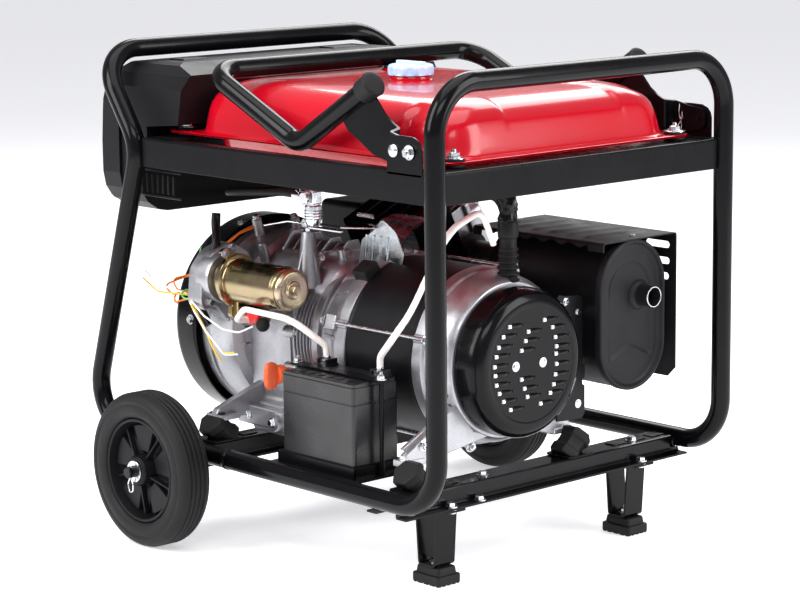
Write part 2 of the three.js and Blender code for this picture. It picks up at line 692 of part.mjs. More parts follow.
function footStrut(toY, x0, x1) {
  // flat web from the bell down to its rubber mount, in the shaft's frame
  const y = toY - shaftY;
  const side = Math.sign(y);
  const low = mountTop + 4 - shaftZ;
  const points = [
    [side * 30, -88], [side * 88, -40], [y + side * 8, low + 12], [y + side * 8, low], [y - side * 22, low],
  ];
  return pushX(side > 0 ? points.reverse() : points, x0, x1);
}

function buildEngine() {
  const engine = groupAt(0, shaftY, shaftZ);
  const bore = crankR + 3;
  const caseOutline = [
    [-102, -118], [62, -118], [62, -94], [80, -80], [96, -30], [96, 62], [60, 98], [-48, 104],
    [-86, 62], [-94, 10], [-90, -88], [-102, -94],
  ];
  const drum = rodX(128, blowerFront + gap, -150, 0, 0, 30);
  const starterBoss = rodX(33, -176, -150, starterY - shaftY, starterZ - shaftZ, 24);
  const boss = turnX([[0, -46], [15, -46], [8, 26], [0, 26]], 14)
    .rotate([0, -90, 0]).translate([governorX, governorY - shaftY, 112]);
  const struts = Object.values(rearMountAcross).map((y) => footStrut(y, rearCrossX - 6, rearCrossX + 6));
  const crankcase = cut(
    join(pushX(caseOutline, -152, engineFront), drum, starterBoss, boss, ...struts,
      rodX(7, -90, -60, -102, -106, 6), rodY(11, -112, -80, -62, -44, 16)),
    rodX(bore, blowerFront - 10, engineFront + 10, 0, 0),
    lean(block(-131, -27, -53, 53, 106 - gap, 200)),
    rodY(8, -113, -60, -62, -44, 16),
  );
  addPiece("crankcase", crankcase, castAluminium, engine);

  let barrel = block(-122, -36, -44, 44, 82, 190);
  for (let z = 96; z < 190; z += 12) barrel = join(barrel, block(-130, -28, -52, 52, z, z + 4));
  const head = block(-134, -24, -60, 62, 189, 232);
  const rocker = block(-120, -38, -44, 46, 231, 262);
  const plug = rodY(7, -92, -59, -78, 212, 12);
  const cylinder = cut(join(barrel, head, rocker, plug), block(-200, 0, -80, 80, 0, 106));
  addPiece("cylinder_head", lean(cylinder), castAluminium, engine);

  const shroud = cut(block(-150, -8, -88, 20, 118, 187), block(-147, -11, -85, 30, 110, 200));
  addPiece("cylinder_shroud", lean(shroud), matteBlack, engine);

  const [back, front, r, t] = [blowerBack, blowerFront, blowerR, 2];
  const cup = turnX([
    [0, back - 28], [62, back - 28], [72, back - 20], [74, back], [r - 14, back], [r, back + 12], [r, front],
    [r - t, front], [r - t, back + 13], [r - 15, back + t], [70, back + t], [69, back - 18], [60, back - 25],
    [0, back - 25],
  ], 30);
  const ropeHole = rodZ(3.2, 50, 80, back - 10, 0, 12).rotate([45, 0, 0]);
  addPiece("blower_housing", cut(cup, ropeHole), blackPaint, engine);
  const grip = join(
    rodZ(2, -50, 84, back - 10, 0, 8), block(back - 24, back - 1, -9, 9, 80, 98),
  );
  addPiece("recoil_grip", grip.rotate([45, 0, 0]), rubber, engine);

  const fan = rodX(116, back + 14, front - 8, 0, 0, 28);
  const shaft = rodX(crankR, back + 10, 226, 0, 0, 20);
  const rotor = rodX(62, statorBack + 14, statorFront - 6, 0, 0, 24);
  addPiece("crank_and_rotor", join(shaft, fan, rotor), castAluminium, engine);
}

function buildEngineFittings() {
  const [y, z] = [starterY, starterZ];
  const starter = join(
    turnX([
      [0, -149], [24, -149], [24, -132], [35, -130], [35, -124], [starterR, -122], [starterR, -24], [27, -22],
      [27, -16], [24, -13], [0, -13],
    ], 28, y, z),
    rodX(7, -14, -7, y, z, 6),
    rodX(13, -120, -70, y + 8, z - 44, 20), block(-128, -118, y - 14, y + 20, z - 50, z),
  );
  addPiece("starter_motor", starter, goldZinc);

  const stick = join(
    rodY(7.2, -38, 10, 0, 0, 16), rodY(12, -50, -38, 0, 0, 20), block(-5, 5, -68, -46, -18, 18),
  );
  addPiece("dipstick", stick.translate([-62, shaftY - 75, shaftZ - 44]), orangePlastic);

  // carburettor and air cleaner stand behind the cylinder head
  const [cx, cy, cz] = [carbX, portY, portZ];
  const carburettor = join(
    block(cx - 15, cx + 15, cy - 20, cy + 20, cz - 16, cz + 18), rodZ(15, cz - 42, cz - 14, cx, cy, 20),
    rodX(12, cx + 14, -134 - gap, cy, cz), rodZ(4, cz + 17, cz + 32, cx, cy, 12),
    rodY(3, cy - 28, cy - 19, cx, cz, 12),
  );
  addPiece("carburettor", carburettor, castAluminium);
  const choke = join(
    cut(rodY(8, cy - 26, cy - 20 - gap, cx, cz, 16), rodY(3 + run, cy - 30, cy - 15, cx, cz, 12)),
    block(cx - 5, cx + 5, cy - 23, cy - 20 - gap, cz + 5, cz + 36),
  );
  addPiece("choke_lever", choke, zinc);
  const cleaner = join(
    block(-288, cx - 28, cy - 42, 224, cz - 34, cz + 50), rodX(13, cx - 30, cx - 15 - gap, cy, cz),
  );
  addPiece("air_cleaner", cleaner, blackPlastic);

  const bossTop = shaftZ + 138;
  const governor = join(
    rodZ(4, bossTop + gap, bossTop + 14, governorX, governorY, 12),
    block(governorX - 5, governorX + 66, governorY - 5, governorY + 5, bossTop + 5, bossTop + 8),
  );
  addPiece("governor_arm", governor, zinc);
}

// ---- alternator, measured along the shaft line ----
function buildAlternator() {
  const line = groupAt(0, shaftY, shaftZ);
  const [back, front] = [statorBack, statorFront];
  const rear = turnX([
    [66, engineFront + gap], [96, engineFront + gap], [100, 20], [110, 34], [statorR, 46],
    [statorR, back - gap], [66, back - gap],
  ], 30);
  addPiece("alternator_rear_bell", rear, castAluminium, line);
  addPiece("stator", turnX([[66, back], [statorR, back], [statorR, front], [66, front]], 30), matteBlack, line);
  const bell = turnX([
    [68, front + gap], [statorR, front + gap], [statorR, front + 12], [100, bellFront - 14], [96, bellFront],
    [15, bellFront], [15, bellFront - 10], [60, bellFront - 10], [68, bellFront - 24],
  ], 30);
  const struts = Object.values(mountAcross).map((y) => footStrut(y, frontCrossX - 22, frontCrossX - 12));
  addPiece("alternator_front_bell", join(bell, ...struts), castAluminium, line);
  const [rim, face, r, t] = [bellFront + gap, coverFace, coverR, 2.5];
  const cover = turnX([
    [0, face], [r - 12, face], [r - 2, face - 9], [r, face - 20], [r - 1, rim], [r - 1 - t, rim],
    [r - t, face - 20], [r - 4, face - 10], [r - 13, face - t], [0, face - t],
  ], 32);
  addPiece("alternator_cover", cover, blackPaint, line);

  const bootX = bellFront - 13;
  const bootY = shaftY + 12;
  const bootZ = shaftZ + 106;
  const sleeveZ = panelBottom + 50;
  const sleeve = [
    [bootX, bootY, bootZ], [bootX, bootY, sleeveZ], [0, bootY, sleeveZ + 5],
    [panelFront - 20 + gap, bootY, sleeveZ],
  ];
  addPiece("output_sleeve", bentTube(sleeve, 10, { bend: 30, sides: 10 }), rubber);
}

function stadium(y, z, halfWidth, halfHeight) {
  const shape = roundedRing({ z: 0, x0: y - halfWidth, x1: y + halfWidth, half: halfHeight, r: halfWidth });
  return shape.map(([u, v]) => [u, v + z]);
}

function buildMuffler() {
  const [y, z, w, h] = [mufflerY, mufflerZ, mufflerHalfWidth, mufflerHalfHeight];
  const drum = pushX(stadium(y, z, w, h), mufflerBack, mufflerFront - 6);
  const rim = cut(
    pushX(stadium(y, z, w + 2, h + 2), mufflerFront - 9, mufflerFront),
    pushX(stadium(y, z, w - 3, h - 3), mufflerFront - 4, mufflerFront + 1),
  );
  const tailY = y + 19;
  const tailZ = z + 23;
  const plate = cut(
    pushX([[44, 164], [y - w + 6, 162], [y - w + 6, 318], [52, 326], [36, 300], [60, 240]], 242, 245),
    rodX(coverR + 4, 200, 260, shaftY, shaftZ, 40),
  );
  const muffler = cut(
    join(drum, rim, rodX(13.5, mufflerFront - 8, mufflerFront + 18, tailY, tailZ), plate,
      rodX(15, -24 + gap, mufflerBack + 2, portY, portZ)),
    pushX(stadium(y, z, w - 1.6, h - 1.6), mufflerBack + 1.6, mufflerFront - 8),
    rodX(11.5, mufflerFront - 12, mufflerFront + 20, tailY, tailZ),
    rodX(12.5, -30, mufflerBack + 6, portY, portZ),
  );
  addPiece("muffler", muffler, matteBlack);
  const top = z + h + 6;
  const shield = [
    [y - w, top - 8], [y - w + 2, top - 8], [y - w + 2, top - 2], [228, top - 2], [228, 200], [230, 200],
    [230, top], [y - w, top],
  ];
  addPiece("heat_shield", pushX(shield.reverse(), 46, mufflerFront + 1), matteBlack);
}

// ---- battery, leads, harness and rubber mounts ----
function buildBattery() {
  const [x, y, l, d] = [batteryX, batteryY, batteryLength / 2, batteryDepth / 2];
  const level = (z, inset) => roundedRing({ z, x0: x - l + inset, x1: x + l - inset, half: d - inset, r: 5 });
  const top = batteryBase + batteryHeight;
  const body = loft([level(batteryBase, 0), level(top - 14, 0), level(top - 13.5, 1.5), level(top, 1.5)]);
  const posts = [-1, 1].map((side) => (
    block(x + side * batteryPost - 7, x + side * batteryPost + 7, 16, 30, top - 1, top + 8)
  ));
  addPiece("battery", join(body, ...posts).translate([0, y, 0]), blackPlastic);
  const [x0, x1, y0, y1] = [x - l - 3, x + l + 3, y - d - 2, y + d + 3];
  const rods = [x0 - 7, x1 + 7].map((rx) => rodZ(3, batteryBase - 3, top + 9, rx, y, 12));
  const tray = join(
    block(x0 - 12, x1 + 12, -sideY + tubeR - 2, y1, batteryBase - 3, batteryBase - gap),
    cut(block(x0 - 2, x1 + 2, y0 - 2, y1, batteryBase - 2, batteryBase + 14),
      block(x0, x1, y0, y1 - 2, batteryBase - gap, batteryBase + 20)),
    ...rods, block(x0 - 13, x1 + 13, y - 9, y + 9, top + gap, top + 3),
  );
  addPiece("battery_tray", cut(tray, rodX(tubeR + gap, x0 - 60, x1 + 60, -sideY, runZ, 16)), blackPaint);
}

function buildWiring() {
  const postY = batteryY + 23;
  const postTop = batteryBase + batteryHeight + 8;
  const [nearX, farX] = [batteryX - batteryPost, batteryX + batteryPost];
  const positive = [
    [nearX, postY, postTop + gap], [nearX, postY, postTop + 16], [26, starterY - 39, starterZ - 27],
    [-66, starterY - 40, starterZ - 25], [-94, starterY - 35, starterZ - 43],
    [-96, starterY + 8 - 13 - gap, starterZ - 44],
  ];
  const positiveBends = (i) => [0, 10, 30, 16, 10][i];
  addPiece("lead_positive", bentTube(positive, 4, { bends: positiveBends, sides: 8, step: 20 }), whiteSleeve);
  const negative = [
    [farX, postY, postTop + gap], [farX, postY, postTop + 16], [222, shaftY - 149, shaftZ + 76],
    [256, shaftY - 117, shaftZ + 176], [240, shaftY - 47, shaftZ + 192], [232, shaftY - 19, shaftZ + 146],
  ];
  const negativeBends = (i) => [0, 12, 60, 40, 26][i];
  addPiece("lead_negative", bentTube(negative, 4, { bends: negativeBends, sides: 8, step: 20 }), whiteSleeve);
  const topX = panelFront - 30;
  const harness = [
    [topX, -150, panelBottom - gap], [topX, -150, panelBottom - 12], [topX + 26, -168, 362], [-200, -178, 300],
    [-178, -176, 262],
  ];
  addPiece("wiring_harness", bentTube(harness, 6, { bend: 40, sides: 10, step: 12 }), rubber);
}

function buildMounts() {
  const places = [
    ["front_near", frontCrossX, mountAcross.near, 1], ["front_far", frontCrossX, mountAcross.far, -1],
    ["rear_near", rearCrossX, rearMountAcross.near, 1], ["rear_far", rearCrossX, rearMountAcross.far, -1],
  ];
  const seat = runZ + crossTop + gap;
  for (const [name, x, y, side] of places) {
    const blockBody = new THREE.CylinderGeometry(mountR, mountR, 40, 6)
      .rotateX(Math.PI / 2).rotateX(side * Math.PI / 4);
    const leaned = toSolid(blockBody.translate(x, y, seat + 12));
    const kept = leaned.intersect(block(x - 40, x + 40, y - 60, y + 60, seat, mountTop));
    addPiece(`mount_${name}`, kept, rubber);
  }
}

buildHoops();
buildRails();
buildCrossMembers();
buildLegs();
buildWheels();
buildTank();
buildFuelLine();
buildHandle();
buildPanel();
buildEngine();
buildEngineFittings();
buildAlternator();
buildMuffler();
buildBattery();
buildWiring();
buildMounts();

export default generator;
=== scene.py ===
import json
import math
import bmesh
import bpy
from mathutils import Matrix, Vector, noise


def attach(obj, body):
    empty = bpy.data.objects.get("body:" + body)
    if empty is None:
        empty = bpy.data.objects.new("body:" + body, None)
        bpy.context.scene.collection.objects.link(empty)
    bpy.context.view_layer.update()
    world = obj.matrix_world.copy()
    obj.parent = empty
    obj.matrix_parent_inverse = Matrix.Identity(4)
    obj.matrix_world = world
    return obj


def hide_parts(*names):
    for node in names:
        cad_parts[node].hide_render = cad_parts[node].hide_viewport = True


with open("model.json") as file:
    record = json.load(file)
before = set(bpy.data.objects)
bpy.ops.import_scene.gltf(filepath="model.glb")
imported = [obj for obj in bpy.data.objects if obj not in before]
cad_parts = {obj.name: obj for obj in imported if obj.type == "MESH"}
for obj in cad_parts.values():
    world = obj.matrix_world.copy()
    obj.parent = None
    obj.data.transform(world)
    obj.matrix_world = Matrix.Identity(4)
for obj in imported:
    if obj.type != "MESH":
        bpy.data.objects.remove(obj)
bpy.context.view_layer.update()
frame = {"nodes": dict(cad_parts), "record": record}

scene = bpy.context.scene
mm = 0.001
root = "generator"
print("frame loaded:", len(frame["nodes"]), "nodes")


# ---- closed solids, all in millimetres ----
def addFaces(bm, rings, closed=True, capStart=True, capEnd=True):
    rows = [[bm.verts.new(p) for p in ring] for ring in rings]
    n = len(rows[0])
    for a, b in zip(rows, rows[1:]):
        for i in range(n if closed else n - 1):
            j = (i + 1) % n
            bm.faces.new((a[i], a[j], b[j], b[i]))
    if capStart:
        bm.faces.new(list(reversed(rows[0])))
    if capEnd:
        bm.faces.new(rows[-1])
    return rows


def faceOut(bm):
    bmesh.ops.recalc_face_normals(bm, faces=bm.faces[:])
    return bm


def boxSolid(x0, x1, y0, y1, z0, z1):
    bm = bmesh.new()
    corners = lambda z: [(x0, y0, z), (x1, y0, z), (x1, y1, z), (x0, y1, z)]
    addFaces(bm, [corners(z0), corners(z1)])
    return faceOut(bm)


def prismSolid(axis, outline, a, b):
    # outline pairs are (y, z), (x, z) or (x, y) for axis X, Y or Z
    place = {"X": lambda u, v, w: (w, u, v), "Y": lambda u, v, w: (u, w, v), "Z": lambda u, v,
             w: (u, v, w)}[axis]
    bm = bmesh.new()
    addFaces(bm, [[place(u, v, w) for u, v in outline] for w in (a, b)])
    return faceOut(bm)


def basisFor(aim):
    aim = Vector(aim).normalized()
    side = aim.cross(Vector((0, 0, 1)) if abs(aim.z) < 0.9 else Vector((1, 0, 0))).normalized()
    return aim, side, side.cross(aim).normalized()


def turnedSolid(profile, at, aim, segments=48):
    # profile is (radius, height) pairs along aim; it starts and ends on the axis, or closes on itself
    aim, side, up = basisFor(aim)
    at = Vector(at)
    bm = bmesh.new()
    onAxis = profile[0][0] == 0 and profile[-1][0] == 0
    pts = profile if onAxis else profile + [profile[0]]
    rows = []
    for r, h in pts:
        if r == 0:
            rows.append([bm.verts.new(at + aim * h)])
        else:
            rows.append([bm.verts.new(at + aim * h + (side * math.cos(t) + up * math.sin(t)) * r)
                         for t in (2 * math.pi * k / segments for k in range(segments))])
    if not onAxis:
        rows[-1] = rows[0]
    for a, b in zip(rows, rows[1:]):
        for i in range(segments):
            j = (i + 1) % segments
            quad = [a[i % len(a)], a[j % len(a)], b[j % len(b)], b[i % len(b)]]
            corners = list(dict.fromkeys(quad))
            if len(corners) > 2:
                bm.faces.new(corners)
    return faceOut(bm)


def rod(r, a, b, segments=24, chamfer=0.0):
    a, b = Vector(a), Vector(b)
    long = (b - a).length
    c = min(chamfer, r * 0.5, long * 0.4)
    profile = [(0, 0), (r - c, 0), (r, c), (r, long - c), (r - c, long), (0, long)] if c else \
        [(0, 0), (r, 0), (r, long), (0, long)]
    return turnedSolid(profile, a, b - a, segments)


def bentStations(points, bends, step=6):
    pts = [Vector(p) for p in points]
    out = [(pts[0], (pts[1] - pts[0]).normalized())]
    for i in range(1, len(pts) - 1):
        into, away = (pts[i] - pts[i - 1]).normalized(), (pts[i + 1] - pts[i]).normalized()
        angle = into.angle(away)
        r = bends[i] if isinstance(bends, (list, tuple)) else bends
        if angle < 1e-3:
            continue
        start = pts[i] - into * r * math.tan(angle / 2)
        inward = (away - into * away.dot(into)).normalized()
        centre = start + inward * r
        count = max(2, math.ceil(math.degrees(angle) / step))
        for k in range(count + 1):
            t = angle * k / count
            out.append((centre - inward * r * math.cos(t) + into * r * math.sin(t),
                        into * math.cos(t) + inward * math.sin(t)))
    out.append((pts[-1], (pts[-1] - pts[-2]).normalized()))
    return out


def closeStations(points, bends, gap, step=4):
    stations = bentStations(points, bends, step)
    line = []
    for (a, da), (b, db) in zip(stations, stations[1:]):
        count = max(1, int((b - a).length / gap))
        line += [(a.lerp(b, k / count), da.lerp(db, k / count).normalized()) for k in range(count)]
    return line + [stations[-1]]


def sweptSolid(stations, section):
    # section(i, share) gives (u, v) pairs; frames are carried along without twisting
    bm = bmesh.new()
    aim, side, up = basisFor(stations[0][1])
    rings = []
    last = aim
    for i, (at, along) in enumerate(stations):
        turn = last.rotation_difference(along)
        side = turn @ side
        side = (side - along * side.dot(along)).normalized()
        up = side.cross(along).normalized()
        last = along
        share = i / (len(stations) - 1)
        rings.append([at + side * u + up * v for u, v in section(i, share)])
    addFaces(bm, rings)
    return faceOut(bm)


def ring2(r, n, r2=None):
    r2 = r if r2 is None else r2
    return [(r * math.cos(2 * math.pi * k / n), r2 * math.sin(2 * math.pi * k / n)) for k in range(n)]


def tubeSolid(points, r, bends=10, n=28, step=6):
    circle = ring2(r, n)
    return sweptSolid(bentStations(points, bends, step), lambda i, s: circle)


def roundRect(x0, x1, y0, y1, r, steps=8):
    out = []
    for cx, cy, q in ((x1 - r, y1 - r, 0), (x0 + r, y1 - r, 1), (x0 + r, y0 + r, 2), (x1 - r, y0 + r, 3)):
        out += [(cx + r * math.cos((q + k / steps) * math.pi / 2),
                 cy + r * math.sin((q + k / steps) * math.pi / 2))
                for k in range(steps + 1)]
    return out


def loftSolid(rings, capStart=True, capEnd=True):
    bm = bmesh.new()
    addFaces(bm, rings, capStart=capStart, capEnd=capEnd)
    return faceOut(bm)


def soften(bm, width, steps=2, above=28):
    edges = [e for e in bm.edges if e.is_manifold and e.calc_face_angle(0) > math.radians(above)]
    if edges:
        bmesh.ops.bevel(bm, geom=edges, offset=width, segments=steps, profile=0.5, affect="EDGES",
                        clamp_overlap=True)
    return bm


def moved(bm, matrix):
    bm.transform(matrix)
    return bm


def joined(parts):
    bm = bmesh.new()
    for part in parts:
        mesh = bpy.data.meshes.new("part")
        part.to_mesh(mesh)
        bm.from_mesh(mesh)
        bpy.data.meshes.remove(mesh)
        part.free()
    return bm


def plainMesh(name, parts):
    bm = joined(parts if isinstance(parts, list) else [parts])
    bm.transform(Matrix.Scale(mm, 4))
    mesh = bpy.data.meshes.new(name)
    bm.to_mesh(mesh)
    bm.free()
    obj = bpy.data.objects.new(name, mesh)
    scene.collection.objects.link(obj)
    return obj


def baked(obj):
    # the evaluated shape becomes the object's own mesh, with no modifier left
    graph = bpy.context.evaluated_depsgraph_get()
    mesh = bpy.data.meshes.new_from_object(obj.evaluated_get(graph))
    obj.modifiers.clear()
    old = obj.data
    obj.data = mesh
    bpy.data.meshes.remove(old)
    return obj


def cutBy(obj, parts):
    tool = plainMesh(obj.name + "Tool", parts)
    cut = obj.modifiers.new("cut", "BOOLEAN")
    cut.operation, cut.solver, cut.object = "DIFFERENCE", "EXACT", tool
    cut.use_self = True
    baked(obj)
    bpy.data.objects.remove(tool)
    return obj


def dress(obj, finish, body=root, replaces=(), smooth=40, weighted=True):
    obj.data.materials.clear()
    obj.data.materials.append(finish)
    obj.data.shade_smooth()
    obj.data.set_sharp_from_angle(angle=math.radians(smooth))
    if weighted:
        even = obj.modifiers.new("even", "WEIGHTED_NORMAL")
        even.keep_sharp = True
        even.weight = 60
    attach(obj, body)
    if replaces:
        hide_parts(*replaces)
    return obj


def piece(name, parts, finish, body=root, replaces=(), smooth=40, weighted=True):
    return dress(plainMesh(name, parts), finish, body, replaces, smooth, weighted)


# ---- camera, light and floor ----
cameraLook = {"place": (2.5112, -2.2861, 0.8957), "turn": 47.64, "rise": 10.02, "roll": -0.576,
              "lens": 118.7}
roomLook = {"floor": (0.86, 0.86, 0.865), "sky": (0.95, 0.96, 1.0), "skyStrength": 0.34, "glow": 0.5}


def makeCamera():
    az, el, ro = (math.radians(cameraLook[k]) for k in ("turn", "rise", "roll"))
    back = Vector((math.sin(az) * math.cos(el), -math.cos(az) * math.cos(el), math.sin(el)))
    right = Vector((math.cos(az), math.sin(az), 0))
    up = back.cross(right)
    right2 = right * math.cos(ro) + up * math.sin(ro)
    up2 = up * math.cos(ro) - right * math.sin(ro)
    data = bpy.data.cameras.new("camera")
    data.lens, data.sensor_width = cameraLook["lens"], 36
    data.clip_start, data.clip_end = 0.05, 200
    cam = bpy.data.objects.new("camera", data)
    cam.matrix_world = Matrix.Translation(cameraLook["place"]) @ Matrix((right2, up2,
        back)).transposed().to_4x4()
    scene.collection.objects.link(cam)
    scene.camera = cam


def areaLight(name, turn, rise, far, size, power, tint=(1, 1, 1), target=(0, 0, 0.32)):
    az, el = math.radians(turn), math.radians(rise)
    back = Vector((math.sin(az) * math.cos(el), -math.cos(az) * math.cos(el), math.sin(el)))
    data = bpy.data.lights.new(name, "AREA")
    data.shape, data.size, data.size_y = "RECTANGLE", size[0], size[1]
    data.energy, data.color = power, tint
    lamp = bpy.data.objects.new(name, data)
    lamp.location = Vector(target) + back * far
    lamp.rotation_euler = back.to_track_quat("Z", "Y").to_euler()
    scene.collection.objects.link(lamp)


def makeRoom():
    world = bpy.data.worlds.new("studio")
    world.use_nodes = True
    sky = world.node_tree.nodes["Background"]
    sky.inputs["Color"].default_value = (*roomLook["sky"], 1)
    sky.inputs["Strength"].default_value = roomLook["skyStrength"]
    scene.world = world
    scene.view_settings.view_transform = "Standard"
    areaLight("keyLeft", -18, 32, 3.0, (1.5, 2.2), 95)
    areaLight("keyRight", 118, 24, 3.2, (1.3, 2.4), 75)
    areaLight("overhead", 60, 84, 2.6, (2.6, 2.6), 62)
    areaLight("frontFill", 52, 38, 4.5, (2.4, 1.2), 60)
    areaLight("backRim", 215, 40, 3.4, (2.4, 1.6), 70)
    bm = bmesh.new()
    addFaces(bm, [[(-40, -40, 0), (40, -40, 0)], [(-40, 40, 0), (40, 40, 0)]], closed=False, capStart=False,
             capEnd=False)
    bmesh.ops.recalc_face_normals(bm, faces=bm.faces[:])
    mesh = bpy.data.meshes.new("floor")
    bm.to_mesh(mesh)
    floor = bpy.data.objects.new("floor", mesh)
    scene.collection.objects.link(floor)
    if mesh.polygons[0].normal.z < 0:
        mesh.flip_normals()
    paint = bpy.data.materials.new("paleFloor")
    paint.use_nodes = True
    shader = paint.node_tree.nodes["Principled BSDF"]
    shader.inputs["Base Color"].default_value = (*roomLook["floor"], 1)
    shader.inputs["Roughness"].default_value = 0.7
    shader.inputs["Emission Color"].default_value = (0.97, 0.97, 1.0, 1)
    shader.inputs["Emission Strength"].default_value = roomLook["glow"]
    mesh.materials.append(paint)


makeCamera()
makeRoom()
print("room ready")


# ---- finishes ----
def finishFor(name, colour, rough, metallic=0.0, second=None, patch=6.0, roughSwing=0.06, grain=0.0,
              grainScale=900.0,
              wave=0.0, waveScale=40.0, coat=0.0, coatRough=0.08, speck=0.0, sheen=0.0, stretch=None,
              glint=0.5):
    material = bpy.data.materials.new(name)
    material.use_nodes = True
    tree = material.node_tree
    node, link = tree.nodes.new, tree.links.new
    shader = tree.nodes["Principled BSDF"]
    shader.inputs["Metallic"].default_value = metallic
    shader.inputs["Coat Weight"].default_value = coat
    shader.inputs["Coat Roughness"].default_value = coatRough
    shader.inputs["Sheen Weight"].default_value = sheen
    shader.inputs["Specular IOR Level"].default_value = glint
    shader.inputs["Coat IOR"].default_value = 1.3
    where = node("ShaderNodeTexCoord")
    spot = where.outputs["Object"]
    if stretch:
        mapping = node("ShaderNodeMapping")
        mapping.inputs["Scale"].default_value = stretch
        link(spot, mapping.inputs["Vector"])
        spot = mapping.outputs["Vector"]

    def noiseAt(scale, detail=3.0, source=None):
        n = node("ShaderNodeTexNoise")
        n.inputs["Scale"].default_value = scale
        n.inputs["Detail"].default_value = detail
        link(source or where.outputs["Object"], n.inputs["Vector"])
        return n

    cloudy = noiseAt(patch, 5.0)
    ramp = node("ShaderNodeValToRGB")
    ramp.color_ramp.elements[0].position, ramp.color_ramp.elements[1].position = 0.35, 0.68
    ramp.color_ramp.elements[0].color = (*colour, 1)
    ramp.color_ramp.elements[1].color = (*(second or [min(1, c * 1.12 + 0.002) for c in colour]), 1)
    link(cloudy.outputs["Fac"], ramp.inputs["Fac"])
    base = ramp.outputs["Color"]
    if speck:
        dots = noiseAt(grainScale * 0.6, 2.0, spot)
        spread = node("ShaderNodeMapRange")
        spread.inputs["From Min"].default_value, spread.inputs["From Max"].default_value = 0.3, 0.7
        spread.inputs["To Min"].default_value, spread.inputs["To Max"].default_value = 1 - speck, 1 + speck
        link(dots.outputs["Fac"], spread.inputs["Value"])
        scaled = node("ShaderNodeVectorMath")
        scaled.operation = "SCALE"
        link(base, scaled.inputs[0])
        link(spread.outputs["Result"], scaled.inputs["Scale"])
        base = scaled.outputs["Vector"]
    link(base, shader.inputs["Base Color"])
    mottle = noiseAt(patch * 4.3, 4.0)
    band = node("ShaderNodeMapRange")
    band.inputs["From Min"].default_value, band.inputs["From Max"].default_value = 0.3, 0.7
    band.inputs["To Min"].default_value = max(0.02, rough - roughSwing)
    band.inputs["To Max"].default_value = min(1, rough + roughSwing)
    link(mottle.outputs["Fac"], band.inputs["Value"])
    link(band.outputs["Result"], shader.inputs["Roughness"])
    normal = None
    for depth, scale, detail in ((wave, waveScale, 2.0), (grain, grainScale, 3.0)):
        if depth:
            relief = noiseAt(scale, detail, spot)
            bump = node("ShaderNodeBump")
            bump.inputs["Strength"].default_value = 1.0
            bump.inputs["Distance"].default_value = depth * mm
            link(relief.outputs["Fac"], bump.inputs["Height"])
            if normal:
                link(normal, bump.inputs["Normal"])
            normal = bump.outputs["Normal"]
    if normal:
        link(normal, shader.inputs["Normal"])
    return material


glossBlack = finishFor("glossBlack", (0.0016, 0.0016, 0.0022), 0.2, coat=0.22, coatRough=0.04, wave=0.05,
    waveScale=160,
                       grain=0.006, grainScale=1500, roughSwing=0.04, glint=0.1)
sheetBlack = finishFor("sheetBlack", (0.002, 0.002, 0.0027), 0.28, coat=0.1, coatRough=0.12, wave=0.05,
    waveScale=120,
                       grain=0.01, grainScale=1800, roughSwing=0.05, glint=0.1)
glossRed = finishFor("glossRed", (0.44, 0.0018, 0.011), 0.22, second=(0.47, 0.0024, 0.013), coat=0.6,
    coatRough=0.05,
                     wave=0.05, waveScale=110, patch=3, roughSwing=0.03, glint=0.3)
hotBlack = finishFor("hotBlack", (0.0058, 0.0058, 0.0072), 0.52, second=(0.011, 0.011, 0.013), grain=0.03,
    grainScale=2200,
                     speck=0.12, roughSwing=0.07, glint=0.22)
satinBlack = finishFor("satinBlack", (0.003, 0.003, 0.0042), 0.38, grain=0.012, grainScale=1600,
    roughSwing=0.05, glint=0.2)
grainBlack = finishFor("grainBlack", (0.0042, 0.0042, 0.0052), 0.44, second=(0.006, 0.006, 0.007),
    grain=0.03,
                       grainScale=1300, speck=0.06, roughSwing=0.05, glint=0.16)
smoothBlack = finishFor("smoothBlack", (0.0036, 0.0036, 0.0044), 0.26, grain=0.006, grainScale=900,
    wave=0.03,
                        waveScale=90, glint=0.2)
softBlack = finishFor("softBlack", (0.007, 0.007, 0.0075), 0.56, second=(0.010, 0.010, 0.011), grain=0.03,
    grainScale=1100,
                      speck=0.1, roughSwing=0.08, glint=0.2)
treadBlack = finishFor("treadBlack", (0.0075, 0.0075, 0.008), 0.58, second=(0.011, 0.011, 0.012),
    grain=0.04,
                       grainScale=900, speck=0.1, roughSwing=0.06, glint=0.2)
castMetal = finishFor("castMetal", (0.36, 0.36, 0.385), 0.38, metallic=0.9, second=(0.44, 0.44, 0.465),
    grain=0.06,
                      grainScale=800, wave=0.05, waveScale=260, speck=0.08, patch=14, roughSwing=0.08)
zincPlate = finishFor("zincPlate", (0.60, 0.62, 0.66), 0.22, metallic=1.0, second=(0.72, 0.73, 0.75),
    grain=0.012,
                      grainScale=1200, patch=40, roughSwing=0.09)
sheetZinc = finishFor("sheetZinc", (0.42, 0.46, 0.50), 0.26, metallic=1.0, second=(0.56, 0.58, 0.60),
    wave=0.06,
                      waveScale=60, patch=22, roughSwing=0.1)
goldPlate = finishFor("goldPlate", (0.30, 0.255, 0.125), 0.22, metallic=1.0, second=(0.37, 0.28, 0.18),
    patch=18,
                      wave=0.03, waveScale=120, roughSwing=0.06)
orangeMoulding = finishFor("orangeMoulding", (0.80, 0.12, 0.035), 0.45, grain=0.01, grainScale=1200)
redMoulding = finishFor("redMoulding", (0.62, 0.02, 0.02), 0.42, grain=0.015, grainScale=900)
milkyBlue = finishFor("milkyBlue", (0.30, 0.52, 0.80), 0.25, second=(0.55, 0.70, 0.88), patch=30,
    grain=0.01,
                      grainScale=700)
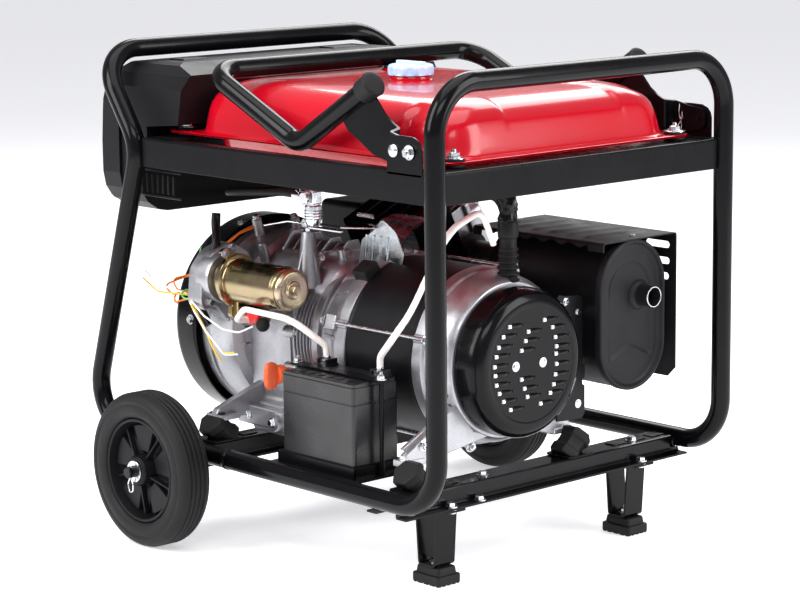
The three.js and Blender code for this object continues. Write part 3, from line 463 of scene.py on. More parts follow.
braidWhite = finishFor("braidWhite", (0.80, 0.74, 0.70), 0.7, second=(0.88, 0.84, 0.80), patch=120,
    grain=0.12,
                       grainScale=1400, sheen=0.2)
print("finishes mixed")

slotLook = {
    "black_paint": sheetBlack, "red_paint": glossRed, "rocker_plastic": redMoulding,
    "matte_black": hotBlack,
    "black_plastic": grainBlack, "orange_plastic": orangeMoulding, "cap_plastic": milkyBlue,
    "rubber": softBlack,
    "tyre_rubber": treadBlack, "cast_aluminium": castMetal, "zinc": zincPlate, "gold_zinc": goldPlate,
    "white_sleeve": braidWhite,
}
for entry in frame["record"]["subparts"]:
    kept = frame["nodes"][entry["node"]]
    for cell in kept.material_slots:
        cell.material = slotLook[entry["material_slot"]]


# ---- frame tubes and carrying handle ----
tubeLook = {"radius": 12.5, "sides": 32, "side": 250, "low": 116, "top": 616, "front": 339, "join": -46,
            "rear": -339,
            "kink": (-219, 501), "rearTop": (-302, 621), "bend": 62, "kinkBend": 60, "weld": 0.9}


def makeHoops():
    t = tubeLook
    s = t["side"]
    front = [(t["join"] + 0.15, -s, t["low"]), (t["front"], -s, t["low"]), (t["front"], -s, t["top"]),
             (t["front"], s, t["top"]), (t["front"], s, t["low"]), (t["join"] + 0.15, s, t["low"])]
    piece("frontHoop", tubeSolid(front, t["radius"], t["bend"], t["sides"], 5), glossBlack,
          replaces=("front_hoop",))
    half = [(t["join"] - 0.15, t["low"]), (t["rear"], t["low"]), t["kink"], t["rearTop"]]
    rear = [(x, -s, z) for x, z in half] + [(x, s, z) for x, z in reversed(half)]
    bends = [0, t["bend"], t["kinkBend"], t["bend"], t["bend"], t["kinkBend"], t["bend"], 0]
    piece("rearHoop", tubeSolid(rear, t["radius"], bends, t["sides"], 5), glossBlack,
          replaces=("rear_hoop",))
    beads = []
    for side in (-1, 1):
        r, w = t["radius"], t["weld"]
        profile = [(r - 1, -3.2), (r + 0.2, -2.6), (r + w * 0.8, -1.4), (r + w, 0), (r + w * 0.8, 1.4),
                   (r + 0.2, 2.6), (r - 1, 3.2)]
        bead = turnedSolid(profile, (t["join"], side * s, t["low"]), (1, 0, 0), 96)
        for v in bead.verts:
            ripple = noise.noise(Vector(v.co) * 0.32)
            v.co += (v.co - Vector((v.co.x, side * s, t["low"]))).normalized() * ripple * 0.45
        beads.append(bead)
    piece("jointWelds", beads, glossBlack, smooth=80, weighted=False)


makeHoops()
print("hoops done")



handleLook = {"side": 230, "end": (212, 607), "dip": (78, 526), "bar": (-94, 605), "dipBend": 34,
              "topBend": 40,
              "capRadius": 15.2, "capReach": 19, "sheet": 3}


def intersected(name, a, b):
    one, two = plainMesh(name, a), plainMesh(name + "Tool", b)
    both = one.modifiers.new("both", "BOOLEAN")
    both.operation, both.solver, both.object = "INTERSECT", "EXACT", two
    baked(one)
    bpy.data.objects.remove(two)
    return one


def softenObject(obj, width, steps=2, above=28):
    bm = bmesh.new()
    bm.from_mesh(obj.data)
    bmesh.ops.remove_doubles(bm, verts=bm.verts, dist=1e-6)
    bmesh.ops.dissolve_limit(bm, angle_limit=math.radians(1.5), verts=bm.verts, edges=bm.edges)
    soften(bm, width * mm, steps, above)
    bm.to_mesh(obj.data)
    bm.free()
    return obj


def makeHandle():
    h = handleLook
    r = tubeLook["radius"]
    arm = [h["end"], h["dip"], h["bar"]]
    s = h["side"]
    route = [(x, -s, z) for x, z in arm] + [(x, s, z) for x, z in reversed(arm)]
    bends = [0, h["dipBend"], h["topBend"], h["topBend"], h["dipBend"], 0]
    bar = tubeSolid(route, r, bends, 32, 5)
    piece("handleBar", bar, glossBlack, "handle", replaces=("carry_handle",))
    along = (Vector((h["end"][0], 0, h["end"][1])) - Vector((h["dip"][0], 0, h["dip"][1]))).normalized()
    caps = []
    for side in (-1, 1):
        tip = Vector((h["end"][0], side * s, h["end"][1]))
        c, reach = h["capRadius"], h["capReach"]
        profile = [(0, -1.5), (r + 0.1, -1.5), (r + 0.1, -reach), (c - 0.8, -reach), (c, -reach + 1),
                   (c + 0.4, -1),
                   (c + 1.0, 0.4), (c + 1.0, 2.2), (c - 0.5, 4.2), (c - 4, 5.4), (c - 9, 6.1), (0, 6.4)]
        caps.append(turnedSolid([(0, 6.4)] + profile[::-1][1:-1] + [(0, -1.5)], tip, along, 40))
    piece("handleCaps", caps, softBlack, "handle", smooth=50)
    pivot, lock = Vector((299, 0, 536)), Vector((271, 0, 536))
    outline = [(150, 571), (206, 604), (234, 573), (248, 563.5), (262, 557), (284, 552), (300, 550),
               (308, 548.5), (311.5, 543),
               (312, 536), (311.5, 529), (307, 523.5), (292, 520), (262, 517.5), (236, 519), (214, 524),
               (204, 529), (186, 540), (168, 549)]
    tab = 248.6 - 0.2
    t = h["sheet"]
    for place, side in (("Near", -1), ("Far", 1)):
        plan = [(142, s), (252, s), (254.5, s + 0.6), (256.5, s + 3), (260, tab - 3), (261.8, tab - 0.8),
                (264, tab), (319, tab),
                (319, tab - t), (264.6, tab - t), (263, tab - t - 0.8), (259.5, s + 0.6), (257.6, s - 2),
                (255, s - t), (142, s - t)]
        plan = [(x, side * y) for x, y in plan]
        plate = intersected("handlePlate" + place, prismSolid("Z", plan, 514.6, 612),
                            prismSolid("Y", outline, side * 225, side * 252))
        holes = [rod(4.4, (p.x, side * 240, p.z), (p.x, side * 253, p.z), 24) for p in (pivot, lock)]
        cutBy(plate, holes)
        dress(softenObject(plate, 0.5), glossBlack, "handle")
        seam = sweptSolid([(Vector((x, side * (s - t / 2), z)), Vector(d)) for x, z, d in
                           ((156, 575.2, (0.86, 0, 0.5)), (180, 589.4, (0.86, 0, 0.5)),
                            (203, 603.0, (0.86, 0, 0.5)))],
                          lambda i, share: ring2(2.6, 10))
        for v in seam.verts:
            v.co.z += noise.noise(v.co * 0.35) * 0.7
        piece("handleWeld" + place, seam, glossBlack, "handle", smooth=80, weighted=False)


makeHandle()
print("handle done")


# ---- bolts: one tree for hexagon heads with a washer under them ----
boltLook = {"chamfer": 0.86}


def boltTree(title, finish, studs=False):
    tree = bpy.data.node_groups.new(title, "GeometryNodeTree")
    face = tree.interface
    face.new_socket("Places", in_out="INPUT", socket_type="NodeSocketGeometry")
    for label, value in (("Head radius", 0.0055), ("Head height", 0.004), ("Washer radius", 0.008),
        ("Washer thickness", 0.0012),
                         ("Stud radius", 0.0028), ("Stud reach", 0.004)):
        face.new_socket(label, in_out="INPUT", socket_type="NodeSocketFloat").default_value = value
    face.new_socket("Turn seed", in_out="INPUT", socket_type="NodeSocketInt").default_value = 7
    face.new_socket("Fixings", in_out="OUTPUT", socket_type="NodeSocketGeometry")
    new, link = tree.nodes.new, tree.links.new
    entry, leave = new("NodeGroupInput"), new("NodeGroupOutput")

    def times(socket, factor):
        n = new("ShaderNodeMath")
        n.operation = "MULTIPLY"
        link(socket, n.inputs[0])
        n.inputs[1].default_value = factor
        return n.outputs[0]

    def plus(a, b):
        n = new("ShaderNodeMath")
        n.operation = "ADD"
        link(a, n.inputs[0])
        link(b, n.inputs[1])
        return n.outputs[0]

    def drum(sides, radius, height, base, top=None):
        shape = new("GeometryNodeMeshCone")
        shape.inputs["Vertices"].default_value = sides
        link(radius, shape.inputs["Radius Bottom"])
        link(top or radius, shape.inputs["Radius Top"])
        link(height, shape.inputs["Depth"])
        lift = new("GeometryNodeTransform")
        link(shape.outputs["Mesh"], lift.inputs["Geometry"])
        place = new("ShaderNodeCombineXYZ")
        if base:
            link(base, place.inputs["Z"])
        link(place.outputs["Vector"], lift.inputs["Translation"])
        return lift.outputs["Geometry"]

    thick, high, radius = entry.outputs["Washer thickness"], entry.outputs["Head height"], entry.outputs["Head radius"]
    washer = drum(28, entry.outputs["Washer radius"], thick, None)
    body = drum(6, radius, times(high, 0.8), thick)
    crown = drum(6, radius, times(high, 0.2), plus(thick, times(high, 0.8)),
                 times(radius, boltLook["chamfer"]))
    stud = drum(16, entry.outputs["Stud radius"], entry.outputs["Stud reach"], plus(thick, high),
                times(entry.outputs["Stud radius"], 0.8))
    gather = new("GeometryNodeJoinGeometry")
    for shape in (washer, body, crown) + ((stud,) if studs else ()):
        link(shape, gather.inputs["Geometry"])
    aim = new("GeometryNodeInputNamedAttribute")
    aim.data_type = "FLOAT_VECTOR"
    aim.inputs["Name"].default_value = "aim"
    align = new("FunctionNodeAlignRotationToVector")
    align.axis = "Z"
    link(aim.outputs["Attribute"], align.inputs["Vector"])
    spin = new("FunctionNodeRandomValue")
    spin.data_type = "FLOAT"
    link(entry.outputs["Turn seed"], spin.inputs["Seed"])
    spin.inputs[3].default_value = 1.05
    turn = new("FunctionNodeAxisAngleToRotation")
    turn.inputs["Axis"].default_value = (0, 0, 1)
    link(spin.outputs[1], turn.inputs["Angle"])
    both = new("FunctionNodeRotateRotation")
    both.rotation_space = "LOCAL"
    link(align.outputs["Rotation"], both.inputs["Rotation"])
    link(turn.outputs["Rotation"], both.inputs["Rotate By"])
    size = new("GeometryNodeInputNamedAttribute")
    size.data_type = "FLOAT"
    size.inputs["Name"].default_value = "size"
    stamp = new("GeometryNodeInstanceOnPoints")
    link(entry.outputs["Places"], stamp.inputs["Points"])
    link(gather.outputs["Geometry"], stamp.inputs["Instance"])
    link(both.outputs["Rotation"], stamp.inputs["Rotation"])
    link(size.outputs["Attribute"], stamp.inputs["Scale"])
    real = new("GeometryNodeRealizeInstances")
    paint = new("GeometryNodeSetMaterial")
    paint.inputs["Material"].default_value = finish
    link(stamp.outputs["Instances"], real.inputs["Geometry"])
    link(real.outputs["Geometry"], paint.inputs["Geometry"])
    link(paint.outputs["Geometry"], leave.inputs["Fixings"])
    return tree


def setInputs(modifier, values):
    for item in modifier.node_group.interface.items_tree:
        if item.in_out == "INPUT" and item.name in values:
            modifier[item.identifier] = values[item.name]


def stampOnPoints(name, tree, places, values, finish, body=root, smooth=30):
    # places are (position, aim) or (position, aim, size)
    mesh = bpy.data.meshes.new(name)
    mesh.from_pydata([Vector(p[0]) * mm for p in places], [], [])
    mesh.attributes.new("aim", "FLOAT_VECTOR", "POINT")
    mesh.attributes.new("size", "FLOAT", "POINT")
    for i, p in enumerate(places):
        # looked up by name each time, as adding a layer moves the others
        mesh.attributes["aim"].data[i].vector = Vector(p[1]).normalized()
        mesh.attributes["size"].data[i].value = p[2] if len(p) > 2 else 1.0
    obj = bpy.data.objects.new(name, mesh)
    scene.collection.objects.link(obj)
    grow = obj.modifiers.new("grow", "NODES")
    grow.node_group = tree
    setInputs(grow, values)
    baked(obj)
    return dress(obj, finish, body, smooth=smooth, weighted=False)


def fixing(head, high, washer, thick=None, stud=None, reach=None):
    # sizes in metres; what isn't given stays as the tree has it
    sizes = {"Head radius": head, "Head height": high, "Washer radius": washer, "Washer thickness": thick,
             "Stud radius": stud, "Stud reach": reach}
    return {title: size for title, size in sizes.items() if size is not None}


zincBolts = boltTree("hexBolts", zincPlate)
zincNuts = boltTree("hexNuts", zincPlate, studs=True)


# ---- fuel tank ----
tankLook = {"flange": 520, "top": 588, "pan": 488, "rear": -213, "front": 322, "half": 214,
            "panelHalf": 98, "panelDeep": 2.6, "dentFrom": 228, "dentTo": 268, "dentDeep": 8}


def smoothStep(a, b, x):
    t = max(0.0, min(1.0, (x - a) / (b - a)))
    return t * t * (3 - 2 * t)


def denseRing(x0, x1, half, r, z, count=520):
    corners = roundRect(x0, x1, -half, half, r, 24)
    pts = [Vector((x, y, 0)) for x, y in corners]
    lengths = [(pts[(i + 1) % len(pts)] - pts[i]).length for i in range(len(pts))]
    total = sum(lengths)
    out, i, walked = [], 0, 0.0
    for k in range(count):
        want = total * k / count
        while walked + lengths[i] < want:
            walked += lengths[i]
            i += 1
        t = (want - walked) / lengths[i] if lengths[i] else 0
        p = pts[i].lerp(pts[(i + 1) % len(pts)], t)
        out.append(Vector((p.x, p.y, z)))
    return out


def tankDent(p):
    # handle clearance at each side and the stepped panel on the front slope
    t = tankLook
    q = p.copy()
    side = smoothStep(t["dentFrom"] - 9, t["dentFrom"] + 5,
        p.x) * (1 - smoothStep(t["dentTo"] - 4, t["dentTo"] + 8, p.x))
    lift = smoothStep(523, 530, p.z) * (1 - smoothStep(574, 584, p.z)) * smoothStep(120, 140, abs(p.y))
    q.y -= math.copysign(t["dentDeep"] * side * lift, p.y)
    slope = (1 - smoothStep(t["panelHalf"] - 1, t["panelHalf"] + 5, abs(p.y - 8))) * smoothStep(558, 563,
        p.z) * \
        smoothStep(196, 203, p.x)
    q.x -= t["panelDeep"] * slope * 0.45
    q.z -= t["panelDeep"] * slope * 0.9 * smoothStep(562, 570, p.z)
    return q


def makeTank():
    t = tankLook
    f = t["flange"]
    # (height, from rear, from front, from side, corner radius): foot fillet, steep wall, soft shoulder, crowned top
    levels = [(f + 1.5, 30, 10.5, 4.5, 58), (f + 1.9, 33.5, 13.4, 7.6, 58), (f + 3.2, 36, 15.4, 9.6, 58),
              (f + 6, 37, 17, 11, 57),
              (f + 14, 37.8, 18.6, 12.4, 57), (f + 24, 39, 20.8, 14.4, 56), (f + 33, 40.4, 23, 17, 55),
              (f + 41, 42.4, 26, 20.4, 54),
              (f + 47, 45, 30, 25, 52), (f + 52, 48.5, 34.5, 30.5, 50), (f + 56.5, 53.5, 40.5, 37.5, 48),
              (f + 60.5, 60, 48, 46, 45),
              (f + 63.5, 67.5, 56.5, 55.5, 42), (f + 65.8, 77, 67, 67, 38), (f + 67.2, 89, 81, 81, 34),
              (f + 67.9, 104, 98, 98, 30),
              (f + 68.1, 125, 122, 120, 24), (f + 68.1, 155, 160, 150, 18), (f + 68.1, 190, 200, 175, 12),
              (f + 68.1, 225, 240, 200, 8)]
    ring = lambda z, a, b, c, r: denseRing(t["rear"] + a, t["front"] - b, t["half"] - c, r, z)
    rings = [[tankDent(p) for p in ring(*level)] for level in levels]
    # flange lip, with a rolled edge, hangs under the first ring and closes the shell below
    edge = [ring(f - 0.2, 60, 40, 36, 50), ring(f - 0.2, 2, 2, 2, 20), ring(f + 0.1, 0.6, 0.6, 0.6, 21),
            ring(f + 0.7, 0, 0, 0, 22),
            ring(f + 1.2, 0.6, 0.6, 0.6, 21), ring(f + 1.5, 2, 2, 2, 20)]
    shell = loftSolid(edge + rings)
    upper = plainMesh("tankUpper", shell)
    cutBy(upper, [rod(21.6, (40, -10, 570), (40, -10, 600), 48)])
    dress(upper, glossRed, replaces=("tank_upper",), smooth=50, weighted=False)
    neck = turnedSolid([(21.8, -3), (21.8, 4.6), (23, 5), (26.2, 5), (27, 4.2), (27, 1.2), (28.5, 0.3),
        (29.5, -0.6), (29, -3)],
                       (40, -10, 588), (0, 0, 1), 56)
    rim = turnedSolid([(24.4, -2), (24.4, 1.6), (25.2, 2.2), (26.6, 2.2), (27.6, 1.4), (30, 0.5),
        (32, -0.4), (31, -2)],
                      (-81, 85, 588), (0, 0, 1), 56)
    oval = [Vector((86 + 34 * math.cos(a), 108 + 25 * math.sin(a),
                    0)) for a in (2 * math.pi * k / 64 for k in range(64))]
    middle = Vector((86, 108, 0))
    boss = loftSolid([[(middle + (p - middle) * s + Vector((0, 0, z)))[:] for p in oval] for s, z in
                      ((1.06, 586), (1.05, 588.0), (1.02, 588.5), (0.97, 589.8), (0.92, 590.1),
                       (0.86, 589.8), (0.82, 589.3), (0.4, 589.3))])
    piece("tankFittings", [neck, rim, boss], glossRed, smooth=50, weighted=False)
    pan = [ring(t["pan"], 82, 66, 50, 36), ring(t["pan"] + 0.6, 77, 61, 44, 38),
           ring(t["pan"] + 3, 73, 57, 39.5, 42),
           ring(t["pan"] + 9, 64, 48, 30, 46), ring(f - 6, 59, 43, 24.5, 49), ring(f - 2.6, 55, 39, 20, 50),
           ring(f - 1.8, 40, 25, 12, 40), ring(f - 1.8, 2, 2, 2, 20), ring(f - 1.2, 0.2, 0.2, 0.2, 22),
           ring(f - 0.5, 2, 2, 2, 20),
           ring(f - 0.5, 70, 60, 40, 40)]
    lower = loftSolid(pan)
    piece("tankLower", lower, glossRed, replaces=("tank_lower",), smooth=50, weighted=False)
    gauge = turnedSolid([(0, 2.9), (17, 2.9), (18, 2.3), (20.5, 2.3), (21.3, 3.0), (23.2, 3.0), (23.6, 2.4),
        (23.6, 0.4), (0, 0.4)],
                        (-81, 85, 588), (0, 0, 1), 56)
    piece("gaugeDisc", gauge, smoothBlack, smooth=35)
    ticks = []
    for k in range(9):
        a = math.radians(200 + k * 17.5)
        at = Vector((-81 + 14 * math.cos(a), 85 + 14 * math.sin(a), 590.9))
        ticks.append(moved(boxSolid(-2.2, 2.2, -0.4, 0.4, 0, 0.25),
            Matrix.Translation(at) @ Matrix.Rotation(a, 4, "Z")))
    piece("gaugeMarks", ticks, zincPlate, smooth=30)


capLook = {"lobes": 12, "lobeDeep": 1.6}


def makeCap():
    c = capLook
    levels = [(0, 28), (0.8, 29.4), (3, 30.2), (9, 30.2), (11.5, 29.6), (13, 28), (13.9, 25.6), (14.2, 22),
              (14.2, 1.5)]
    rings = []
    for z, r in levels:
        grip = smoothStep(0.5, 3, z) * (1 - smoothStep(10, 13.5, z))
        rings.append([(40 + (r + c["lobeDeep"] * 0.5 * (math.cos(c["lobes"] * a) - 1) * grip) * math.cos(a),
                       -10 + (r + c["lobeDeep"] * 0.5 * (math.cos(c["lobes"] * a) - 1) * grip)
                       * math.sin(a), 593.4 + z)
                      for a in (2 * math.pi * k / 144 for k in range(144))])
    top = loftSolid(rings)
    bar = soften(prismSolid("Z", roundRect(40 - 25.5, 40 + 25.5, -15, -5, 4.8, 8), 606.5, 611.2), 1.4, 3)
    plug = turnedSolid([(0, 585.4), (20.6, 585.4), (21.2, 586), (21.2, 594), (0, 594)], (40, -10, 0),
        (0, 0, 1), 48)
    piece("capBody", [top, bar, plug], milkyBlue, "cap", replaces=("fuel_cap",), smooth=45)


mountLook = {"spots": [(309, -191), (309, 191), (-191, -191), (-191, 191)]}


def makeTankMounts():
    bushes, cups = [], []
    for x, y in mountLook["spots"]:
        bushes.append(turnedSolid([(0, 0), (12.5, 0), (13.4, 1), (13.4, 3.2), (12.6, 4), (0, 4)],
            (x, y, 514.1), (0, 0, 1), 40))
        bushes.append(turnedSolid([(0, 0), (12.6, 0), (13.2, 0.8), (12.8, 2.6), (11.6, 3.4), (0, 3.4)],
            (x, y, 521.6), (0, 0, 1), 40))
        cups.append(turnedSolid([(0, 0), (12.8, -0.5), (13.6, 0), (13.4, 0.8), (10.5, 1.3), (9, 1.5),
            (0, 1.5)], (x, y, 525), (0, 0, 1), 40))
    piece("tankBushes", bushes, softBlack, smooth=50)
    piece("tankWashers", cups, zincPlate, smooth=40)
    stampOnPoints("tankBolts", zincNuts, [((x, y, 526.3), (0, 0, 1)) for x, y in mountLook["spots"]],
                  fixing(0.0066, 0.0048, 0.0092, stud=0.003, reach=0.0035),
                  zincPlate)


# ---- rails, cross members, legs ----
railLook = {"top": 514, "low": 476, "sheet": 2, "fold": 3.2, "rear": -211, "front": 326.2, "side": 250}


def foldedSection(width, height, sheet, fold, steps=5):
    # an angle: web goes down from the fold, flange goes inward; pairs are (across, up) from the outer top corner
    outer = [(-fold + fold * math.cos(a),
              -fold + fold * math.sin(a)) for a in (math.pi / 2 * k / steps for k in range(steps + 1))]
    inner = [(-fold + (fold - sheet) * math.cos(a), -fold + (fold - sheet) * math.sin(a))
             for a in (math.pi / 2 * k / steps for k in range(steps, -1, -1))]
    return [(0, -height)] + outer + [(-width, 0), (-width, -sheet)] + inner + [(-sheet, -height)]


def makeRails():
    r = railLook
    for place, side in (("near", -1), ("far", 1)):
        face = side * (r["side"] + r["sheet"] / 2)
        section = [(face + side * u, r["top"] + v) for u, v in foldedSection(15, 38, r["sheet"], r["fold"])]
        rail = prismSolid("X", section, r["rear"], r["front"])
        rail = soften(rail, 0.35, 1, 60)
        y0, y1 = sorted((side * 249, side * 251))
        ear = [(259, 508), (317.5, 508), (319, 512), (319, 538), (317, 545), (312, 550.5), (304, 554),
               (286, 554.6), (266, 554.2), (261, 551), (259, 545)]
        plate = plainMesh(place + "Ear", prismSolid("Y", ear, y0, y1))
        cutBy(plate, [rod(4.5, (271, y0 - 3, 536), (271, y1 + 3, 536), 28)])
        dress(softenObject(plate, 0.4), glossBlack)
        lip = soften(boxSolid(262, 316, *sorted((side * 234, side * 249.2)), 509.4, 511.6), 0.4, 1)
        piece(place + "Rail", [rail, lip, rod(3.9, (299, side * 244, 536), (299, side * 252, 536), 24)],
              sheetBlack,
              replaces=(place + "_rail",))
    f = 338.2
    section = [(f + 1.8 + u, r["top"] + v) for u, v in foldedSection(49, 38, r["sheet"], r["fold"])]
    frontRail = plainMesh("frontRail", prismSolid("Y", section, -237, 237))
    holes = [rod(7, (310, y, 505), (310, y, 520), 32) for y in (-191, 191)]
    holes += [rod(5, (306, y, 505), (306, y, 520), 32) for y in (-90, 0, 90)]
    notch = [boxSolid(280, 326, *sorted((side * 233.7, side * 240)), 505, 520) for side in (-1, 1)]
    cutBy(frontRail, holes + notch)
    dress(softenObject(frontRail, 0.35, 1, 60), sheetBlack, replaces=("front_rail",))
    b = -211
    rear = [(b - u, r["top"] + v) for u, v in foldedSection(48, 38, r["sheet"], r["fold"])]
    piece("rearRail", soften(prismSolid("Y", rear, -233.7, 233.7), 0.35, 1, 60), sheetBlack,
          replaces=("rear_rail",))
    beads = []
    for side in (-1, 1):
        y = side * 248.4
        bead = tubeSolid([(326.4, y, 477), (326.4 + 0.4, y, 495), (326.4, y, 511)], 1.7, 20, 10, 20)
        for v in bead.verts:
            v.co += v.co.normalized() * noise.noise(v.co * 0.5) * 0.8
        beads.append(bead)
    piece("railWelds", beads, glossBlack, smooth=80, weighted=False)
    stampOnPoints("handlePivotBolts", zincNuts, [((299, side * 252.2, 536), (0, side, 0)) for side in (-1,
        1)],
                  fixing(0.0072, 0.005, 0.0088, stud=0.0035, reach=0.002),
                  zincPlate)


def makeLockPins():
    for place, side in (("Near", -1), ("Far", 1)):
        body = "pin_" + place.lower()
        head = turnedSolid([(0, 5.4), (4, 5.1), (6.6, 4.2), (7.8, 2.9), (8, 1.6), (7.4, 1.3), (4, 1.3),
            (4, -1), (3.5, -1.4), (0, -1.4)],
                           (271, side * 250, 536), (0, side, 0), 36)
        piece("lockPin" + place, head, zincPlate, body, replaces=("lock_pin_" + place.lower(),),
              smooth=45)
        at = Vector((271, side * 243, 536))
        clip = [at + Vector(p) for p in ((0, 0, 17), (-1, 0, 8), (0, 0, 1), (3.6, 0, -3), (-0.4, 0, -8),
            (-3.4, 0, -12), (0, 0, -17),
                                         (4.4, 0, -12), (2.6, 0, -6), (4.6, 0, 0), (4.4, 0, 7))]
        piece("pinClip" + place, tubeSolid(clip, 0.9, 3, 10, 20), zincPlate, "handle", smooth=60,
              weighted=False)


crossLook = {"top": 120, "low": 96, "half": 19, "edge": 35, "sheet": 2.5, "front": 249, "rear": -134,
             "reach": {"front": 249, "rear": 265}}


def hatOutline(x, c):
    t, r = c["sheet"], 2.4
    w, e, top, low = c["half"], c["edge"], c["top"], c["low"]
    right = [(w + r + 0.2, low + t), (w + 0.8, low + t + 0.7), (w, low + t + r), (w, top - r),
             (w - 0.7, top - 0.7), (w - r, top)]
    innerR = [(w - t - 1, top - t), (w - t, top - t - 1), (w - t, low + 1.4), (w - t + 1.2, low)]
    pts = [(-e, low), (-e, low + t)] + [(-u, v) for u, v in right] + [(u, v) for u,
        v in reversed(right)] + [(e, low + t), (e, low)]
    pts += [(u, v) for u, v in reversed(innerR)] + [(-u, v) for u, v in innerR]
    return [(x + u, v) for u, v in pts]


def makeCrossMembers():
    c = crossLook
    for name, x in (("front_crossmember", c["front"]), ("rear_crossmember", c["rear"])):
        reach = c["reach"][name.split("_")[0]]
        bar = plainMesh(name + "Bar", prismSolid("Y", hatOutline(x, c), -reach, reach))
        cuts = [rod(12.9, (x - 60, s * 250, 116), (x + 60, s * 250, 116), 40) for s in (-1, 1)]
        cuts += [rod(2.6, (x + e, y, 90), (x + e, y, 102), 20) for e in (-27, 27) for y in (-120, -60, 0,
            60, 120)]
        cutBy(bar, cuts)
        dress(softenObject(bar, 0.35, 1, 50), glossBlack)
        ribs = []
        for side in (-1, 1):
            for y in (150, 186, 222):
                y0, y1 = sorted((side * (y - 13), side * (y + 13)))
                ribs.append(soften(prismSolid("Z", roundRect(x - 9, x + 9, y0, y1, 4, 5), 118, 121.4), 1.1,
                    3))
        beads = []
        for side in (-1, 1):
            for edge in (-1, 1):
                route = [(x + edge * (c["half"] + 1), side * (250 - 12.2), 117.5),
                         (x + edge * (c["half"] + 1), side * (250 - 14.5), 110),
                         (x + edge * (c["half"] + 1), side * (250 - 12), 105)]
                bead = tubeSolid(route, 2.2, 8, 12, 15)
                for v in bead.verts:
                    v.co += (v.co - Vector((x, side * 238,
                        112))).normalized() * noise.noise(v.co * 0.45) * 0.9
                beads.append(bead)
        piece(name + "Details", ribs + beads, glossBlack, smooth=60, weighted=False)
    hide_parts("front_crossmember")
    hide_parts("rear_crossmember")
    axle = []
    for side in (-1, 1):
        plate = soften(boxSolid(-158, -110, *sorted((side * 263, side * 268)), 82, 120), 1.2, 2)
        collar = turnedSolid([(0, 0), (12, 0), (12, 15.6), (11, 16.6), (0, 16.6)], (-134, side * 267, 100),
            (0, side, 0), 36)
        stub = turnedSolid([(0, 0), (7.4, 0), (7.4, 78.6), (6.2, 80), (0, 80)], (-134, side * 267, 100),
            (0, side, 0), 36)
        axle += [plate, collar, stub]
    piece("axles", axle, smoothBlack, smooth=40)
    stampOnPoints("crossBolts", zincBolts,
                  [((222, -168, 95.9), (0, 0, -1)), ((276, -168, 95.9), (0, 0, -1)),
                   ((222, 168, 95.9), (0, 0, -1)), ((276, 168, 95.9), (0, 0, -1)),
                   ((276.5, -168, 98.6), (0, 0, 1)), ((276.5, 168, 98.6), (0, 0, 1)),
                   ((221.5, -168, 98.6), (0, 0, 1)), ((221.5, 168, 98.6), (0, 0, 1)),
                   ((276, -120, 98.6), (0, 0, 1)), ((252, -92, 120.1), (0, 0, 1)),
                   ((252, 176, 120.1), (0, 0, 1))],
                  fixing(0.0062, 0.0044, 0.0078, stud=0.003, reach=0.002),
                  zincPlate)


legLook = {"top": 95.7, "base": 22.3, "topHalf": 20, "baseHalf": 15, "flange": 35, "sheet": 3, "wide": 33,
           "y": 168, "x": 249}


def bandAround(points, sheet, y0, y1, bend=4, step=15):
    # a strip of sheet that follows (x, z) points, with its bends rounded
    stations = bentStations([(x, 0, z) for x, z in points], bend, step)
    outer, inner = [], []
    for at, along in stations:
        side = Vector((-along.z, 0, along.x)).normalized() * sheet / 2
        outer.append((at.x + side.x, at.z + side.z))
        inner.append((at.x - side.x, at.z - side.z))
    return prismSolid("Y", outer + inner[::-1], y0, y1)


def makeLegs():
    g = legLook
    half = g["sheet"] / 2
    x = g["x"]
    for place, side in (("near", -1), ("far", 1)):
        y = side * g["y"]
        route = [(x - g["flange"], g["top"] - half), (x - g["topHalf"] + half, g["top"] - half),
                 (x - g["baseHalf"] + half, g["base"] + half), (x + g["baseHalf"] - half, g["base"] + half),
                 (x + g["topHalf"] - half, g["top"] - half), (x + g["flange"], g["top"] - half)]
        strap = soften(bandAround(route, g["sheet"], y - g["wide"] / 2, y + g["wide"] / 2), 0.5, 2, 50)
        piece(place + "Leg", strap, glossBlack, replaces=("leg_" + place,))
        levels = [(0, 1.2, 3.6), (0.8, 0.4, 4), (3, 0, 4), (11.4, 0, 4), (12.2, 0.5, 4), (12.6, 2.2, 4),
                  (13.2, 3.2, 4), (20.5, 4.2, 4), (21.4, 4.8, 3.6), (22, 5.8, 3)]
        rings = []
        for z, inset, r in levels:
            rings.append([(px, py, z) for px, py in roundRect(x - 24 + inset, x + 24 - inset,
                y - 19 + inset, y + 19 - inset, r, 6)])
        pad = plainMesh(place + "Pad", loftSolid(rings))
        treads = [boxSolid(x - 30, x + 30, y + k - 2, y + k + 2, -1, 2.2) for k in (-12, -4, 4, 12)]
        treads += [boxSolid(x + k - 2, x + k + 2, y - 30, y + 30, -1, 2.2) for k in (-16, -5.4, 5.4, 16)]
        cutBy(pad, treads)
        dress(softenObject(pad, 0.3, 1, 50), softBlack, replaces=("foot_" + place,))
    stampOnPoints("padNuts", zincNuts, [((x, s * g["y"], g["base"] + 3.1), (0, 0, 1)) for s in (-1, 1)],
                  fixing(0.006, 0.005, 0.0085, stud=0.0028, reach=0.004),
                  zincPlate)


# ---- wheels ----
wheelLook = {"radius": 100, "half": 23, "spokes": 5, "x": -134, "y": 309, "z": 100}


